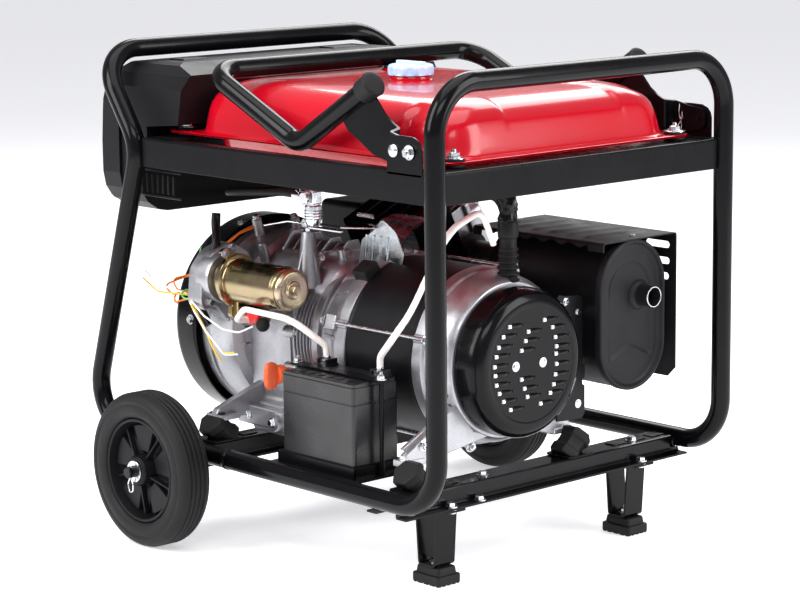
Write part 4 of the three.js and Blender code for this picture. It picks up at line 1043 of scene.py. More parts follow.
def makeWheels():
    w = wheelLook
    h = w["half"]
    for place, side in (("near", -1), ("far", 1)):
        at = (w["x"], side * w["y"], w["z"])
        outline = [(68, -h + 5), (69.5, -h + 2.5), (73, -h + 0.6), (77, -h), (84, -h), (85.2, -h + 0.8),
                   (86.4, -h + 0.8), (87.6, -h),
                   (90, -h + 0.2), (93.5, -h + 1.4), (96.6, -h + 3.4), (98.6, -h + 6.4), (99.5, -h + 9.4)]
        tread = []
        for k in (-10.5, -3.5, 3.5, 10.5):
            tread += [(99.9, k - 2.4), (99.3, k - 1.3), (98.0, k - 0.7), (98.0, k + 0.7), (99.3, k + 1.3),
                      (99.9, k + 2.4)]
        outline += tread + [(r, -v) for r, v in reversed(outline)]
        tyre = turnedSolid(outline, at, (0, side, 0), 120)
        piece(place + "Tyre", tyre, treadBlack, "wheel_" + place,
              replaces=("tyre_" + place,), smooth=55, weighted=False)
        rim = turnedSolid([(67.4, -h + 5), (67.4, h - 5.2), (66.4, h - 4), (64.6, h - 3.6), (63, h - 4.4),
            (61.8, h - 8), (60.6, h - 13.6),
                           (59, 4.5), (57.5, 3), (22, 3.4), (20.8, 4.6), (19.6, h - 2), (18.4, h - 0.4),
                           (17, h + 1.4), (13.6, h + 2), (13, h + 1.4), (12.4, h - 1.4),
                           (7.9, h - 1.6), (7.9, -h - 2), (20, -h - 2), (22, -9), (57, -7), (62, -h + 5)],
                           at, (0, side, 0), 96)
        hubParts = [rim]
        for k in range(w["spokes"]):
            # alternate sectors stand above the dish, each with sloped edges
            a0 = math.radians(90 + k * 72 - 20)
            a1 = math.radians(90 + k * 72 + 20)
            rows = []
            for depth, grow in ((3.0, 2.2), (8.4, 0.6), (9.6, 0.0)):
                ring = []
                for r, lo, hi in ((24 - grow, a0, a1), (57.5 + grow * 0.3, a1, a0)):
                    spread = grow / r
                    first, last = (lo - spread, hi + spread) if hi > lo else (lo + spread, hi - spread)
                    for i in range(13):
                        a = first + (last - first) * i / 12
                        ring.append((r * math.cos(a), depth, r * math.sin(a)))
                rows.append([(at[0] + x, at[1] + side * y, at[2] + z) for x, y, z in ring])
            hubParts.append(soften(loftSolid(rows), 0.7, 2, 30))
        ribs = []
        for k in range(w["spokes"]):
            a = math.radians(90 + 36 + k * 72)
            u, v = Vector((math.cos(a), 0, math.sin(a))), Vector((-math.sin(a), 0, math.cos(a)))
            base = Vector(at)
            rows = []
            for depth, wide in ((3.0, 1.9), (10.5, 1.2)):
                rows.append([base + u * 21 + v * wide + Vector((0, side * (depth + 6), 0)),
                             base + u * 58.5 + v * wide + Vector((0, side * depth, 0)),
                             base + u * 58.5 - v * wide + Vector((0, side * depth, 0)),
                             base + u * 21 - v * wide + Vector((0, side * (depth + 6), 0))])
            ribs.append(soften(loftSolid(rows), 0.4, 2, 30))
        piece(place + "Hub", hubParts + ribs, grainBlack, "wheel_" + place,
              replaces=("hub_" + place,), smooth=42)
        end = side * (w["y"] + h + 2.2)
        washers = [turnedSolid([(7.8, 0), (13.4, 0), (13.8, 0.4), (13.8, 1.3), (13.4, 1.7), (7.8, 1.7)],
            (at[0], end, at[2]), (0, side, 0), 36)]
        piece(place + "AxleWasher", washers, zincPlate, smooth=35)
        pinY = side * 341
        legs = [Vector((w["x"] - 1.4, pinY, w["z"] + 11)), Vector((w["x"] - 1.4, pinY, w["z"] - 9)),
                Vector((w["x"] - 5, pinY, w["z"] - 15)),
                Vector((w["x"] - 1, pinY + side * 1.0, w["z"] - 26)),
                Vector((w["x"] + 7, pinY + side * 1.5, w["z"] - 24)),
                Vector((w["x"] + 7.4, pinY + side * 1.5, w["z"] - 14)),
                Vector((w["x"] + 1.6, pinY, w["z"] - 8)), Vector((w["x"] + 1.6, pinY, w["z"] + 11))]
        piece(place + "SplitPin", tubeSolid(legs, 1.0, 4, 10, 20), zincPlate, smooth=60,
              weighted=False)


makeTank()
makeCap()
makeTankMounts()
print("tank done")
makeRails()
makeLockPins()
makeCrossMembers()
makeLegs()
print("frame done")
makeWheels()
print("wheels done")


# ---- alternator ----
alternatorLook = {"shaft": Vector((0, -33, 254)), "radius": 112, "back": 58, "front": 181,
                  "louvreLong": 23, "louvreHigh": 6.4, "louvreProud": 2.6}
slotSpots = [(-72, 306), (-83, 295), (-91, 283), (-95, 272), (-98, 260), (-97, 249), (-95, 237), (-90, 226),
             (-83, 215), (-71, 203),
             (-40, 296), (-45, 285), (-52, 274), (-52, 238), (-47, 226), (-42, 215), (-12, 307), (2, 296),
             (7, 283), (9, 271),
             (8, 262), (9, 249), (7, 236), (4, 224), (-2, 214), (-19, 203)]


def aroundShaft(angle, radius, x=0.0):
    # angle is measured from the near side upwards
    a = math.radians(angle)
    return Vector((x, -33 - radius * math.cos(a), 254 + radius * math.sin(a)))


def louvreBump(y, z, face):
    p = alternatorLook
    long, high, proud = p["louvreLong"], p["louvreHigh"] / 2, p["louvreProud"]
    rings = []
    for share in (0, 0.04, 0.25, 0.5, 0.75, 0.9, 0.97, 1.0):
        k = 1.0 if share < 0.5 else math.sqrt(max(0.0, 1 - ((share - 0.5) / 0.5) ** 2)) * 0.9 + 0.1
        ring = [(face - 1.2, y + long * share, z - high * k)]
        ring += [(face - 0.3 + proud * k * math.sin(a), y + long * share, z - high * k * math.cos(a))
                 for a in (math.pi * q / 10 for q in range(11))]
        ring.append((face - 1.2, y + long * share, z + high * k))
        rings.append(ring)
    return loftSolid(rings)


def footWeb(toY, x0, x1):
    side = math.copysign(1, toY + 33)
    low = 146.4
    pts = [(-33 + side * 26, 254 - 90), (-33 + side * 60, 254 - 80), (-33 + side * 90, 254 - 44),
           (toY + side * 4, low + 15), (toY + side * 8, low + 9),
           (toY + side * 8, low), (toY - side * 24, low)]
    web = soften(prismSolid("X", pts, x0, x1), 1.6, 3)
    y0, y1 = sorted((toY - side * 24, toY + side * 9))
    flange = soften(boxSolid(x0 - 9, x1 + 2, y0, y1, low - 0.2, low + 8), 1.6, 3)
    rib = soften(prismSolid("X", [(-33 + side * 62, 254 - 70), (-33 + side * 84, 254 - 44),
        (toY + side * 2, low + 20), (toY - side * 16, low + 12)],
                            x0 - 5, x0 + 1), 1.5, 2)
    return [web, flange, rib]


# pale paint for the louvre lips: a painted highlight standing in for the white reflections there, not bare metal
louvreHighlightPaint = finishFor("louvreHighlightPaint", (0.86, 0.87, 0.9), 0.5, metallic=0.3, grain=0.02, grainScale=1500)


def makeAlternator():
    shaft = alternatorLook["shaft"]
    shoulder = [(76 + 17.6 * math.sin(a),
                 261.4 + 17.6 * math.cos(a)) for a in (math.pi / 2 * k / 9 for k in range(10))]
    outer = [(0, 278.2), (70.5, 278.2), (72.5, 278.5), (74, 279.0)] + shoulder[1:] + [(94, 252),
        (93.6, 246), (94, 243.2), (94, 240.2), (93, 239.4)]
    inner = [(91.5, 239.4), (91.2, 260), (86, 270), (76, 275.4), (0, 275.4)]
    piece("coverShell", turnedSolid(outer + inner, shaft, (1, 0, 0), 128), glossBlack,
          replaces=("alternator_cover",), smooth=50)
    piece("coverLouvres", [louvreBump(y, z, 278.2) for y, z in slotSpots], glossBlack,
          smooth=50, weighted=False)
    # pale strips along each louvre lip carry the painted highlight
    highlightStrips = [soften(prismSolid("Y", [(277.9, z - 2.7), (280.1, z - 2.3), (280.6, z + 0.2), (279.9, z + 2.3),
        (277.9, z + 2.7)], y - 1.4, y + 3.4), 0.5, 2)
            for y, z in slotSpots]
    dots = [turnedSolid([(0, 1.1), (1.3, 0.9), (1.7, 0.3), (1.7, -0.8), (0, -0.8)],
        (278.2, y + 25.5, z - 0.4), (1, 0, 0), 12) for y, z in slotSpots]
    piece("louvreHighlightStrips", highlightStrips, louvreHighlightPaint, smooth=30)
    piece("louvreDots", dots, smoothBlack, smooth=45)
    stampOnPoints("coverBolts", zincNuts, [((277.9, -60, 255), (1, 0, 0)), ((277.9, -13, 254), (1, 0, 0))],
                  fixing(0.0042, 0.0014, 0.0062, thick=0.0006, stud=0.0018, reach=0.0005),
                  zincPlate)
    ring = [(67, 181.4), (111, 181.4), (112, 182.4), (112, 197), (111.2, 199), (108.6, 201), (106.8, 212),
            (105, 224), (101.8, 233), (98, 238), (96, 238.9), (15, 238.9), (15, 229), (60, 229), (67, 214)]
    drum = [turnedSolid(ring, shaft, (1, 0, 0), 128)]
    for k in range(7):
        a = -18 - k * 7.5
        base = [aroundShaft(a, 105, x) for x in (202, 205, 228, 232)]
        out = [aroundShaft(a, h, x) for h, x in ((106, 202), (110.8, 206), (108, 228), (103, 232))]
        thick = (base[0] - shaft).cross(Vector((1, 0, 0))).normalized() * 1.5
        drum.append(soften(loftSolid([[v + thick for v in base[::-1] + out],
            [v - thick for v in base[::-1] + out]]), 0.5, 2))
    for y in (-200, 70):
        drum += footWeb(y, 226, 238)
    for a in (18, 108, 198, -72):
        at = aroundShaft(a, 105)
        out = (at - shaft).normalized()
        drum.append(turnedSolid([(0, 181.8), (8.4, 181.8), (9, 182.6), (8.6, 204), (7.6, 206), (0, 206)],
            (0, at.y, at.z), (1, 0, 0), 28))
        drum.append(turnedSolid([(0, 38), (8.2, 38), (9, 39), (9, 56.4), (8.4, 57.2), (0, 57.2)],
            (0, at.y, at.z), (1, 0, 0), 28))
    piece("frontBell", drum, castMetal, replaces=("alternator_front_bell",), smooth=38)
    ring = [(66, -1.7), (94.5, -1.7), (96, -0.7), (98.6, 8), (100, 17), (101.6, 22), (105.4, 28),
            (108.8, 32), (111, 37), (112, 42), (112, 56.6), (111, 57.6), (66, 57.6)]
    back = [turnedSolid(ring, shaft, (1, 0, 0), 128)]
    for k in range(22):
        a = k * 360 / 22 + 8
        u = (aroundShaft(a, 1) - shaft)
        side = u.cross(Vector((1, 0, 0))).normalized() * 1.8
        rib = [shaft + u * rr + Vector((x, 0, 0)) for x, rr in ((1, 92), (1, 99.5), (16, 102.4),
            (30, 110.6), (37, 112), (37, 92))]
        back.append(soften(loftSolid([[v + side for v in rib], [v - side for v in rib]]), 0.6, 2))
    piece("rearBell", back, castMetal, replaces=("alternator_rear_bell",), smooth=38)
    ring = [(67, 58.2), (110.4, 58.2), (111.4, 59), (111.6, 62), (110.6, 64), (110.6, 175.5),
            (111.6, 177.5), (111.4, 180.2), (110.6, 180.8), (67, 180.8)]
    piece("statorBand", turnedSolid(ring, shaft, (1, 0, 0), 144), satinBlack,
          replaces=("stator",), smooth=40)
    bolts = [rod(2.6, aroundShaft(a, 114.6, 34), aroundShaft(a, 114.6, 205), 18) for a in (18, 108, -72)]
    piece("throughBolts", bolts, zincPlate, smooth=45)
    lug = [soften(moved(boxSolid(194, 216, -11, 11, -2, 13),
        Matrix.Translation(aroundShaft(a, 106)) @ Matrix.Rotation(math.radians(a - 90), 4, "X")), 2, 3)
           for a in (108,)]
    lug += [soften(moved(boxSolid(20, 40, -10, 10, -4, 11),
        Matrix.Translation(aroundShaft(a, 106)) @ Matrix.Rotation(math.radians(-(a - 90)), 4, "X")), 2, 3)
            for a in (18, 108, -72)]
    piece("boltLugs", lug, castMetal, smooth=38)
    stampOnPoints("throughBoltHeads", zincNuts,
                  [(aroundShaft(a, 114.6, x), (s, 0, 0)) for a in (18, 108, -72) for x,
                   s in ((205.5, 1), (19.6, -1))] +
                  [((225.8, -178, 170), (-1, 0, 0)), ((238.2, -178, 170), (1, 0, 0)),
                   ((232, -202, 154.8), (0, 0, 1)), ((232, 66, 154.8), (0, 0, 1))],
                  fixing(0.0056, 0.0045, 0.0072, stud=0.0026, reach=0.003), zincPlate)
    at = aroundShaft(57, 111)
    pad = soften(moved(boxSolid(-13, 13, -13, 13, -4, 13),
        Matrix.Translation(at + Vector((47, 0, 0))) @ Matrix.Rotation(math.radians(57 - 90) * -1, 4, "X")),
        2.6, 3)
    knob = turnedSolid([(0, 14), (5, 13.8), (6, 12), (6, 6), (0, 6)], at + Vector((47, 0, 0)), at - shaft,
        20)
    piece("rubberBumper", [pad, knob], softBlack, smooth=45)
    ridges = [(0, 350), (13.5, 350), (14.5, 352)]
    for k in range(5):
        z = 354 + k * 7.6
        ridges += [(11.2, z + 1), (10.6, z + 2.2), (11.4, z + 3.4), (13.8 - k * 0.3, z + 4.6),
                   (14.2 - k * 0.3, z + 5.8), (13.4 - k * 0.3, z + 6.8)]
    ridges += [(10.8, 393), (10.8, 404), (12.8, 405), (13.2, 409), (12.6, 424), (11.4, 426), (0, 426)]
    piece("outletBoot", turnedSolid(ridges, (226, -21, 0), (0, 0, 1), 48), softBlack, smooth=60,
          weighted=False)
    line = closeStations([(226, -21, 420), (226, -21, 456), (222, -21, 474), (224, -21, 502)], 20, 1.4, 6)

    def wrinkled(i, share):
        ring = []
        for u, v in ring2(1, 40):
            fold = noise.noise(Vector((u * 1.4, v * 1.4, i * 0.11))) * 2.6 + noise.noise(Vector((u * 3,
                v * 3, i * 0.25 + 9))) * 1.3
            ring.append((u * (12.2 + fold), v * (10.0 + fold)))
        return ring
    sleeve = sweptSolid(line, wrinkled)
    piece("outletSleeve", sleeve, smoothBlack, smooth=65, weighted=False)


# ---- muffler and heat shield ----
mufflerLook = {"y": 150, "z": 292, "half": 58, "high": 95, "back": 70, "front": 279, "panelHalf": 41,
               "panelTop": 70, "panelLow": -46,
               "panelDeep": 2.6, "tail": (169, 315), "port": (155.5, 341.9)}


def stadiumRing(grow, x, count=144):
    m = mufflerLook
    r, straight = m["half"] + grow, m["high"] - m["half"]
    ring = []
    for k in range(count):
        a = 2 * math.pi * (k + 0.5) / count
        z = r * math.sin(a) + math.copysign(straight, math.sin(a))
        ring.append(Vector((x, m["y"] + r * math.cos(a), m["z"] + z)))
    return ring


def makeMuffler():
    m = mufflerLook
    x0, x1 = m["back"], m["front"]
    rings = [stadiumRing(g, x) for g, x in ((-7, x0), (-3, x0 + 0.6), (-0.8, x0 + 2.6), (0, x0 + 5),
        (0, x0 + 18), (0.9, x0 + 19.5), (0.9, x0 + 23), (0, x0 + 24.5),
                                            (0, x1 - 13), (1.6, x1 - 11.6), (2, x1 - 10), (2, x1 - 2.6),
                                            (1.2, x1 - 0.9), (-0.4, x1 - 0.1), (-2, x1 - 0.4),
                                            (-3.2, x1 - 1.8), (-4.2, x1 - 4.2), (-6, x1 - 5.6),
                                            (-9, x1 - 6.2))]
    for k in range(34):
        ring = []
        for p in stadiumRing(-10.2 - k * 1.4, x1 - 6.2):
            u, v = p.y - m["y"], p.z - m["z"]
            top = m["panelTop"] - m["panelHalf"]
            across = math.hypot(u, v - top) if v > top else abs(u)
            inside = 1 - smoothStep(m["panelHalf"] - 6, m["panelHalf"], across)
            edge = m["panelLow"] + 6.5 * math.cos(u / m["panelHalf"] * math.pi * 1.05)
            inside *= smoothStep(edge - 5, edge + 2, v)
            q = p.copy()
            q.x -= m["panelDeep"] * inside
            ring.append(q)
        rings.append(ring)
    body = loftSolid(rings)
    tailY, tailZ = m["tail"]
    collar = turnedSolid([(13.4, x1 - 12), (19.5, x1 - 9), (19, x1 - 7), (16, x1 - 5), (13.9, x1 - 3.4),
        (13.5, x1 - 1), (13.5, x1 + 17), (12, x1 + 17), (11.6, x1 + 15), (11.6, x1 - 12)],
                         (0, tailY, tailZ), (1, 0, 0), 56)
    piece("mufflerBody", [body, collar], hotBlack, replaces=("muffler",), smooth=50,
          weighted=False)
    piece("mufflerInlet", turnedSolid([(12.6, -23.4), (24, -23.4), (25, -22), (25, -17), (24, -16),
        (15.2, -15.4), (15, -12), (15, 71), (12.6, 71)],
                                      (0, *m["port"]), (1, 0, 0), 48), hotBlack, smooth=45)
    lip = turnedSolid([(11.8, x1 + 15.4), (11.8, x1 + 17.4), (12.2, x1 + 18), (13.1, x1 + 18),
        (13.5, x1 + 17.4), (13.5, x1 + 16.8), (12.4, x1 + 16.6)],
                      (0, tailY, tailZ), (1, 0, 0), 56)
    piece("tailpipeLip", lip, zincPlate, smooth=50)
    pts = [(46, 164), (70, 162.5), (92, 162), (97, 168), (97, 196)]
    for k in range(4):
        z = 204 + k * 27
        pts += [(97, z), (93.4, z + 1.6), (92.6, z + 5), (93.4, z + 8.4), (97, z + 10)]
    pts += [(97, 308), (94, 317), (86, 321.5), (62, 323), (50, 325.5), (42, 316), (35, 300), (60, 240)]
    plate = plainMesh("mufflerPlate", prismSolid("X", pts, 242, 244.6))
    cutBy(plate, [rod(98, (230, -33, 254), (255, -33, 254), 72),
                  rod(3.2, (235, 84, 300), (255, 84, 300), 20),
                  rod(3.2, (235, 84, 182), (255, 84, 182), 20)])
    dress(softenObject(plate, 0.5, 2), hotBlack)
    seam = tubeSolid([(x0 + 30, 150, 292 + 95.4), (x1 - 16, 150, 292 + 95.4)], 1.4, 1, 12)
    piece("mufflerSeam", seam, hotBlack, smooth=50)


shieldLook = {"near": 92, "far": 229, "top": 393, "low": 200, "x0": 46, "x1": 280, "sheet": 1.6, "ribs": 6,
              "ribHigh": 3.2, "pitch": 32}


def makeShield():
    s = shieldLook
    x0, x1, top = s["x0"], s["x1"], s["top"]
    ribAt = [78 + k * s["pitch"] for k in range(s["ribs"])]

    def height(x, y):
        # pressed ribs run across the top, leaning a little, and fade at both ends
        lean = (y - 160) * 0.10
        rise = sum(math.exp(-((x - r - lean) / 6.0) ** 2) for r in ribAt)
        fade = smoothStep(s["near"] + 14, s["near"] + 26, y) * (1 - smoothStep(s["far"] - 26, s["far"] - 12,
            y))
        return s["ribHigh"] * (rise * fade - 1)

    xs = [x0 + (x1 - x0) * k / 144 for k in range(145)]
    rings = []
    across = [(s["near"] + 7 + (s["far"] - 9 - s["near"]) * k / 46) for k in range(47)]
    for x in xs:
        scallop = 0.5 + 0.5 * math.cos((x - ribAt[0]) / s["pitch"] * 2 * math.pi)
        drop = 3.5 + 5.5 * scallop if ribAt[0] - 16 < x < ribAt[-1] + 16 else 12
        line = [(s["near"] + 0.6, top - 3 - drop), (s["near"] + 0.8, top - 7), (s["near"] + 1.8, top - 4.8),
                (s["near"] + 3.8, top - 3.5)]
        line += [(y, top + height(x, y)) for y in across]
        line += [(s["far"] - 0.9, top - 3.6), (s["far"] + 0.3, top - 4.9), (s["far"] + 0.8, top - 7),
                 (s["far"] + 0.8, top - 26), (s["far"] + 0.8, top - 80), (s["far"] + 0.8, s["low"] + 6),
                 (s["far"] + 0.8, s["low"])]
        inner = []
        for i, (y, z) in enumerate(line):
            a, b = line[max(0, i - 1)], line[min(len(line) - 1, i + 1)]
            t = Vector((b[0] - a[0], b[1] - a[1])).normalized()
            inner.append((y + t.y * s["sheet"], z - t.x * s["sheet"]))
        rings.append([(x, y, z) for y, z in line] + [(x, y, z) for y, z in inner[::-1]])
    shell = plainMesh("heatShieldSheet", loftSolid(rings))
    far = s["far"]
    slots = [prismSolid("Y", [(u, v) for u, v in roundRect(a, b, z - 4.6, z + 4.6, 4.5, 6)], far - 8,
        far + 8)
             for a, b, z in ((228, 269, 372), (233, 269, 351), (236, 268, 331), (60, 100, 372),
                             (60, 100, 351), (60, 100, 331))]
    corners = [prismSolid("Y", pts, far - 8, far + 8)
               for pts in ([(266, 190), (266, 199), (281, 214), (290, 214), (290, 190)],
                           [(40, 190), (40, 212), (45, 212), (58, 199), (58, 190)])]
    cutBy(shell, slots + corners)
    dress(shell, hotBlack, replaces=("heat_shield",), smooth=42)
    stampOnPoints("shieldBolts", zincBolts, [((262, 165, 389.6), (0, 0, 1)), ((62, 165, 389.6), (0, 0, 1)),
                   ((244.9, 84, 300), (1, 0, 0)), ((244.9, 84, 182), (1, 0, 0)),
                   ((244.9, 62, 316), (1, 0, 0))],
                  fixing(0.0042, 0.0016, 0.0055, thick=0.0004), zincPlate)


makeAlternator()
print("alternator done")
makeMuffler()
makeShield()
print("muffler done")


# ---- engine ----
engineLook = {"shaft": Vector((0, -33, 254)), "back": -211.7, "front": -2}


def engineRing(points, grow):
    # outline points are measured from the shaft line; a positive grow pulls the ring inwards
    centre = Vector((sum(p[0] for p in points), sum(p[1] for p in points))) / len(points)
    out = []
    for y, z in points:
        d = Vector((y, z)) - centre
        q = centre + d * (1 - grow / d.length)
        out.append((q.x - 33, q.y + 254))
    return out


def roundedOutline(points, r, steps=5):
    out = []
    n = len(points)
    for i in range(n):
        p, a, b = Vector(points[i]), Vector(points[i - 1]), Vector(points[(i + 1) % n])
        u, v = (a - p), (b - p)
        k = min(r, u.length * 0.45, v.length * 0.45)
        s, e = p + u.normalized() * k, p + v.normalized() * k
        for q in range(steps + 1):
            t = q / steps
            out.append(tuple(s * (1 - t) ** 2 + p * 2 * t * (1 - t) + e * t * t))
    return out


def castBoss(x0, x1, y, z, r, tip=0.86):
    return turnedSolid([(0, x0), (r, x0), (r * 0.97, x1 - 2), (r * tip, x1), (0, x1)], (0, y, z), (1, 0, 0),
        24)


def upright(x, y, z0, z1, r0, r1, lean=(0, 0, 1)):
    return turnedSolid([(0, 0), (r0, 0), (r1, z1 - z0 - 1.2), (r1 - 1.2, z1 - z0), (0, z1 - z0)],
        (x, y, z0), lean, 24)


def makeCrankcase():
    e = engineLook
    shaft = e["shaft"]
    outline = roundedOutline([(-102, -118), (62, -118), (62, -94), (80, -80), (96, -30), (96, 62), (60, 98),
        (-48, 104), (-86, 62), (-94, 10), (-90, -88), (-102, -94)], 16)
    rings = []
    for x, grow in ((-152, 4), (-150, 0), (-66, 0), (-65, 1.6), (-62.5, 1.6), (-61.5, 0), (-55, -0.0),
                    (-53, 3), (-20, 6), (-13, 9), (-8, 15), (-2.2, 19)):
        ring = [Vector((x, y, z)) for y, z in engineRing(outline, grow)]
        rings.append(ring)
    body = loftSolid(rings)
    drum = turnedSolid([(0, e["back"]), (124, e["back"]), (127.4, e["back"] + 1), (128, e["back"] + 4),
        (128, -196), (126.4, -194), (125, -192), (124, -170), (119, -157), (108, -151), (104, -149),
        (0, -149)],
                       shaft, (1, 0, 0), 120)
    parts = [body, drum]
    starterAt = (-165, 327)
    parts.append(turnedSolid([(0, -176), (31, -176), (33, -174), (33, -156), (31.4, -151), (0, -150)],
        (0, *starterAt), (1, 0, 0), 48))
    ear = roundedOutline([(-146, 372), (-128, 362), (-112, 352), (-116, 300), (-150, 262), (-176, 292),
        (-192, 284), (-200, 296), (-196, 340), (-176, 362)], 9)
    parts.append(soften(prismSolid("X", ear, -190, -162), 2, 3))
    # radial ribs between the flywheel drum and the case, and around the adapter to the alternator
    for k in range(26):
        a = 20 + k * 320 / 25 - 30
        u = aroundShaft(a, 1) - shaft
        side = u.cross(Vector((1, 0, 0))).normalized() * 1.5
        rib = [shaft + u * rr + Vector((x, 0, 0)) for x, rr in ((-194, 100), (-194, 126), (-176, 122.5),
            (-158, 112), (-149, 106), (-149, 96))]
        parts.append(soften(loftSolid([[v + side for v in rib], [v - side for v in rib]]), 0.5, 2))
    for r, x in ((99, -14), (93, -8)):
        parts.append(turnedSolid([(r - 6, x - 8), (r, x - 8), (r + 0.8, x - 6), (r, x + 4),
            (r - 2, x + 5.4), (r - 6, x + 5.4)], shaft, (1, 0, 0), 96))
    ribFar = 96
    for k in range(6):
        # curved cooling ribs on the near side of the cover
        rows = []
        for q in range(15):
            a = -38 + q * 5.4
            at = aroundShaft(a, ribFar + 1.2 * math.sin(q / 14 * math.pi), -22 - k * 6.4)
            rows.append((at, (aroundShaft(a + 2, ribFar, 0) - aroundShaft(a - 2, ribFar, 0)).normalized()))
        parts.append(sweptSolid(rows, lambda i, share: ring2(1.5, 10, 4.2)))
    # fins and posts on top
    for k, (x, y, high) in enumerate(((-140, -58, 30), (-128, -52, 24), (-116, -46, 28), (-104, -40, 18),
        (-92, -34, 22), (-80, -30, 16), (-68, -24, 20))):
        fin = [(y - 22, 330), (y - 20, 346 + high * 0.4), (y - 2, 350 + high), (y + 16, 350 + high),
               (y + 26, 346), (y + 26, 330)]
        parts.append(soften(prismSolid("X", fin, x - 1.6, x + 1.6), 1.0, 2))
    for x, y, z0, z1, r in ((-190, -70, 350, 394, 8), (-150, -96, 330, 368, 7.5), (-172, -20, 352, 392, 8),
        (-60, -134, 300, 330, 8), (-36, -60, 340, 368, 7)):
        parts.append(upright(x, y, z0, z1, r, r * 0.8, (0, -0.25, 1)))
    parts.append(turnedSolid([(0, 0), (17, 0), (13.5, 30), (10.5, 58), (8.6, 70.4), (7.6, 72), (0, 72)],
        (-55, -105, 320), (0, 0, 1), 32))
    for a in (0, 90, 180, 270):
        t = math.radians(a)
        web = [Vector((-55 + 24 * math.cos(t), -105 + 24 * math.sin(t), 326)),
               Vector((-55 + 8 * math.cos(t), -105 + 8 * math.sin(t), 378)), Vector((-55, -105, 378)),
               Vector((-55, -105, 326))]
        off = Vector((-math.sin(t), math.cos(t), 0)) * 1.6
        parts.append(soften(loftSolid([[v + off for v in web], [v - off for v in web]]), 0.6, 2))
    # cover rim with bolt bosses where the two castings meet
    bossSpots = [(-133, 300), (-130, 338), (-88, 356), (-36, 354), (-128, 262), (-128, 214), (-132, 160),
                 (24, 350), (60, 300), (62, 220)]
    for y, z in bossSpots:
        parts.append(castBoss(-74, -52.5, y, z, 8.2))
    rim = [Vector((0, y, z)) for y, z in engineRing(outline, -3.2)]
    for x0, x1 in ((-72, -66.2), (-61.2, -54)):
        parts.append(soften(loftSolid([[p + Vector((x0, 0, 0)) for p in rim],
            [p + Vector((x1, 0, 0)) for p in rim]]), 0.8, 2, 60))
    # base foot along the near side, with the drain boss
    parts.append(soften(prismSolid("Y", [(-150, 134), (-8, 134), (-6, 140), (-6, 152), (-20, 158),
        (-130, 160), (-148, 156), (-152, 146)], -151, -133), 2.2, 3))
    parts.append(soften(prismSolid("Y", [(-122, 134), (-30, 134), (-34, 128), (-118, 128)], -149, -135),
        1.2, 2))
    parts.append(turnedSolid([(0, -4), (12, -4), (12.6, -3), (12.6, 5), (11.4, 7), (0, 7)],
        (-72, -150, 145), (0, -1, 0), 32))
    parts.append(turnedSolid([(0, -20), (12.6, -20), (13.4, -18), (13.4, 0), (12, 1.6), (8.4, 1.6),
        (8.4, -3), (0, -3)], (-62, -113, 210), (0, -1, 0), 36))
    for y in (-196, 66):
        side = -1 if y < 0 else 1
        pts = [(-33 + side * 40, 254 - 110), (-33 + side * 76, 254 - 62), (y + side * 4, 161),
               (y + side * 8, 155), (y + side * 8, 146.4), (y - side * 24, 146.4)]
        parts.append(soften(prismSolid("X", pts, -140, -128), 1.8, 3))
        y0, y1 = sorted((y - side * 24, y + side * 9))
        parts.append(soften(boxSolid(-150, -118, y0, y1, 146.2, 154), 1.8, 3))
    piece("crankcaseCasting", parts, castMetal, replaces=("crankcase",), smooth=36)
    bolts = [((-52.4, y, z), (1, 0, 0)) for y, z in bossSpots]
    bolts += [((-161.8, y, z), (1, 0, 0)) for y, z in ((-146, 364), (-184, 296), (-150, 272))]
    bolts += [((x, y, z), (0, -0.2425, 0.9701)) for x, y, z in ((-190, -80.5, 393), (-172, -30.2, 391))]
    bolts += [((-134, -190, 154.2), (0, 0, 1)), ((-134, 60, 154.2), (0, 0, 1)),
              ((-72, -157.2, 145), (0, -1, 0)), ((-30, -151.2, 146), (0, -1, 0)),
              ((-128, -151.4, 147), (0, -1, 0))]
    stampOnPoints("caseBolts", zincBolts, bolts, fixing(0.0048, 0.0042, 0.0064, thick=0.0008), zincPlate)


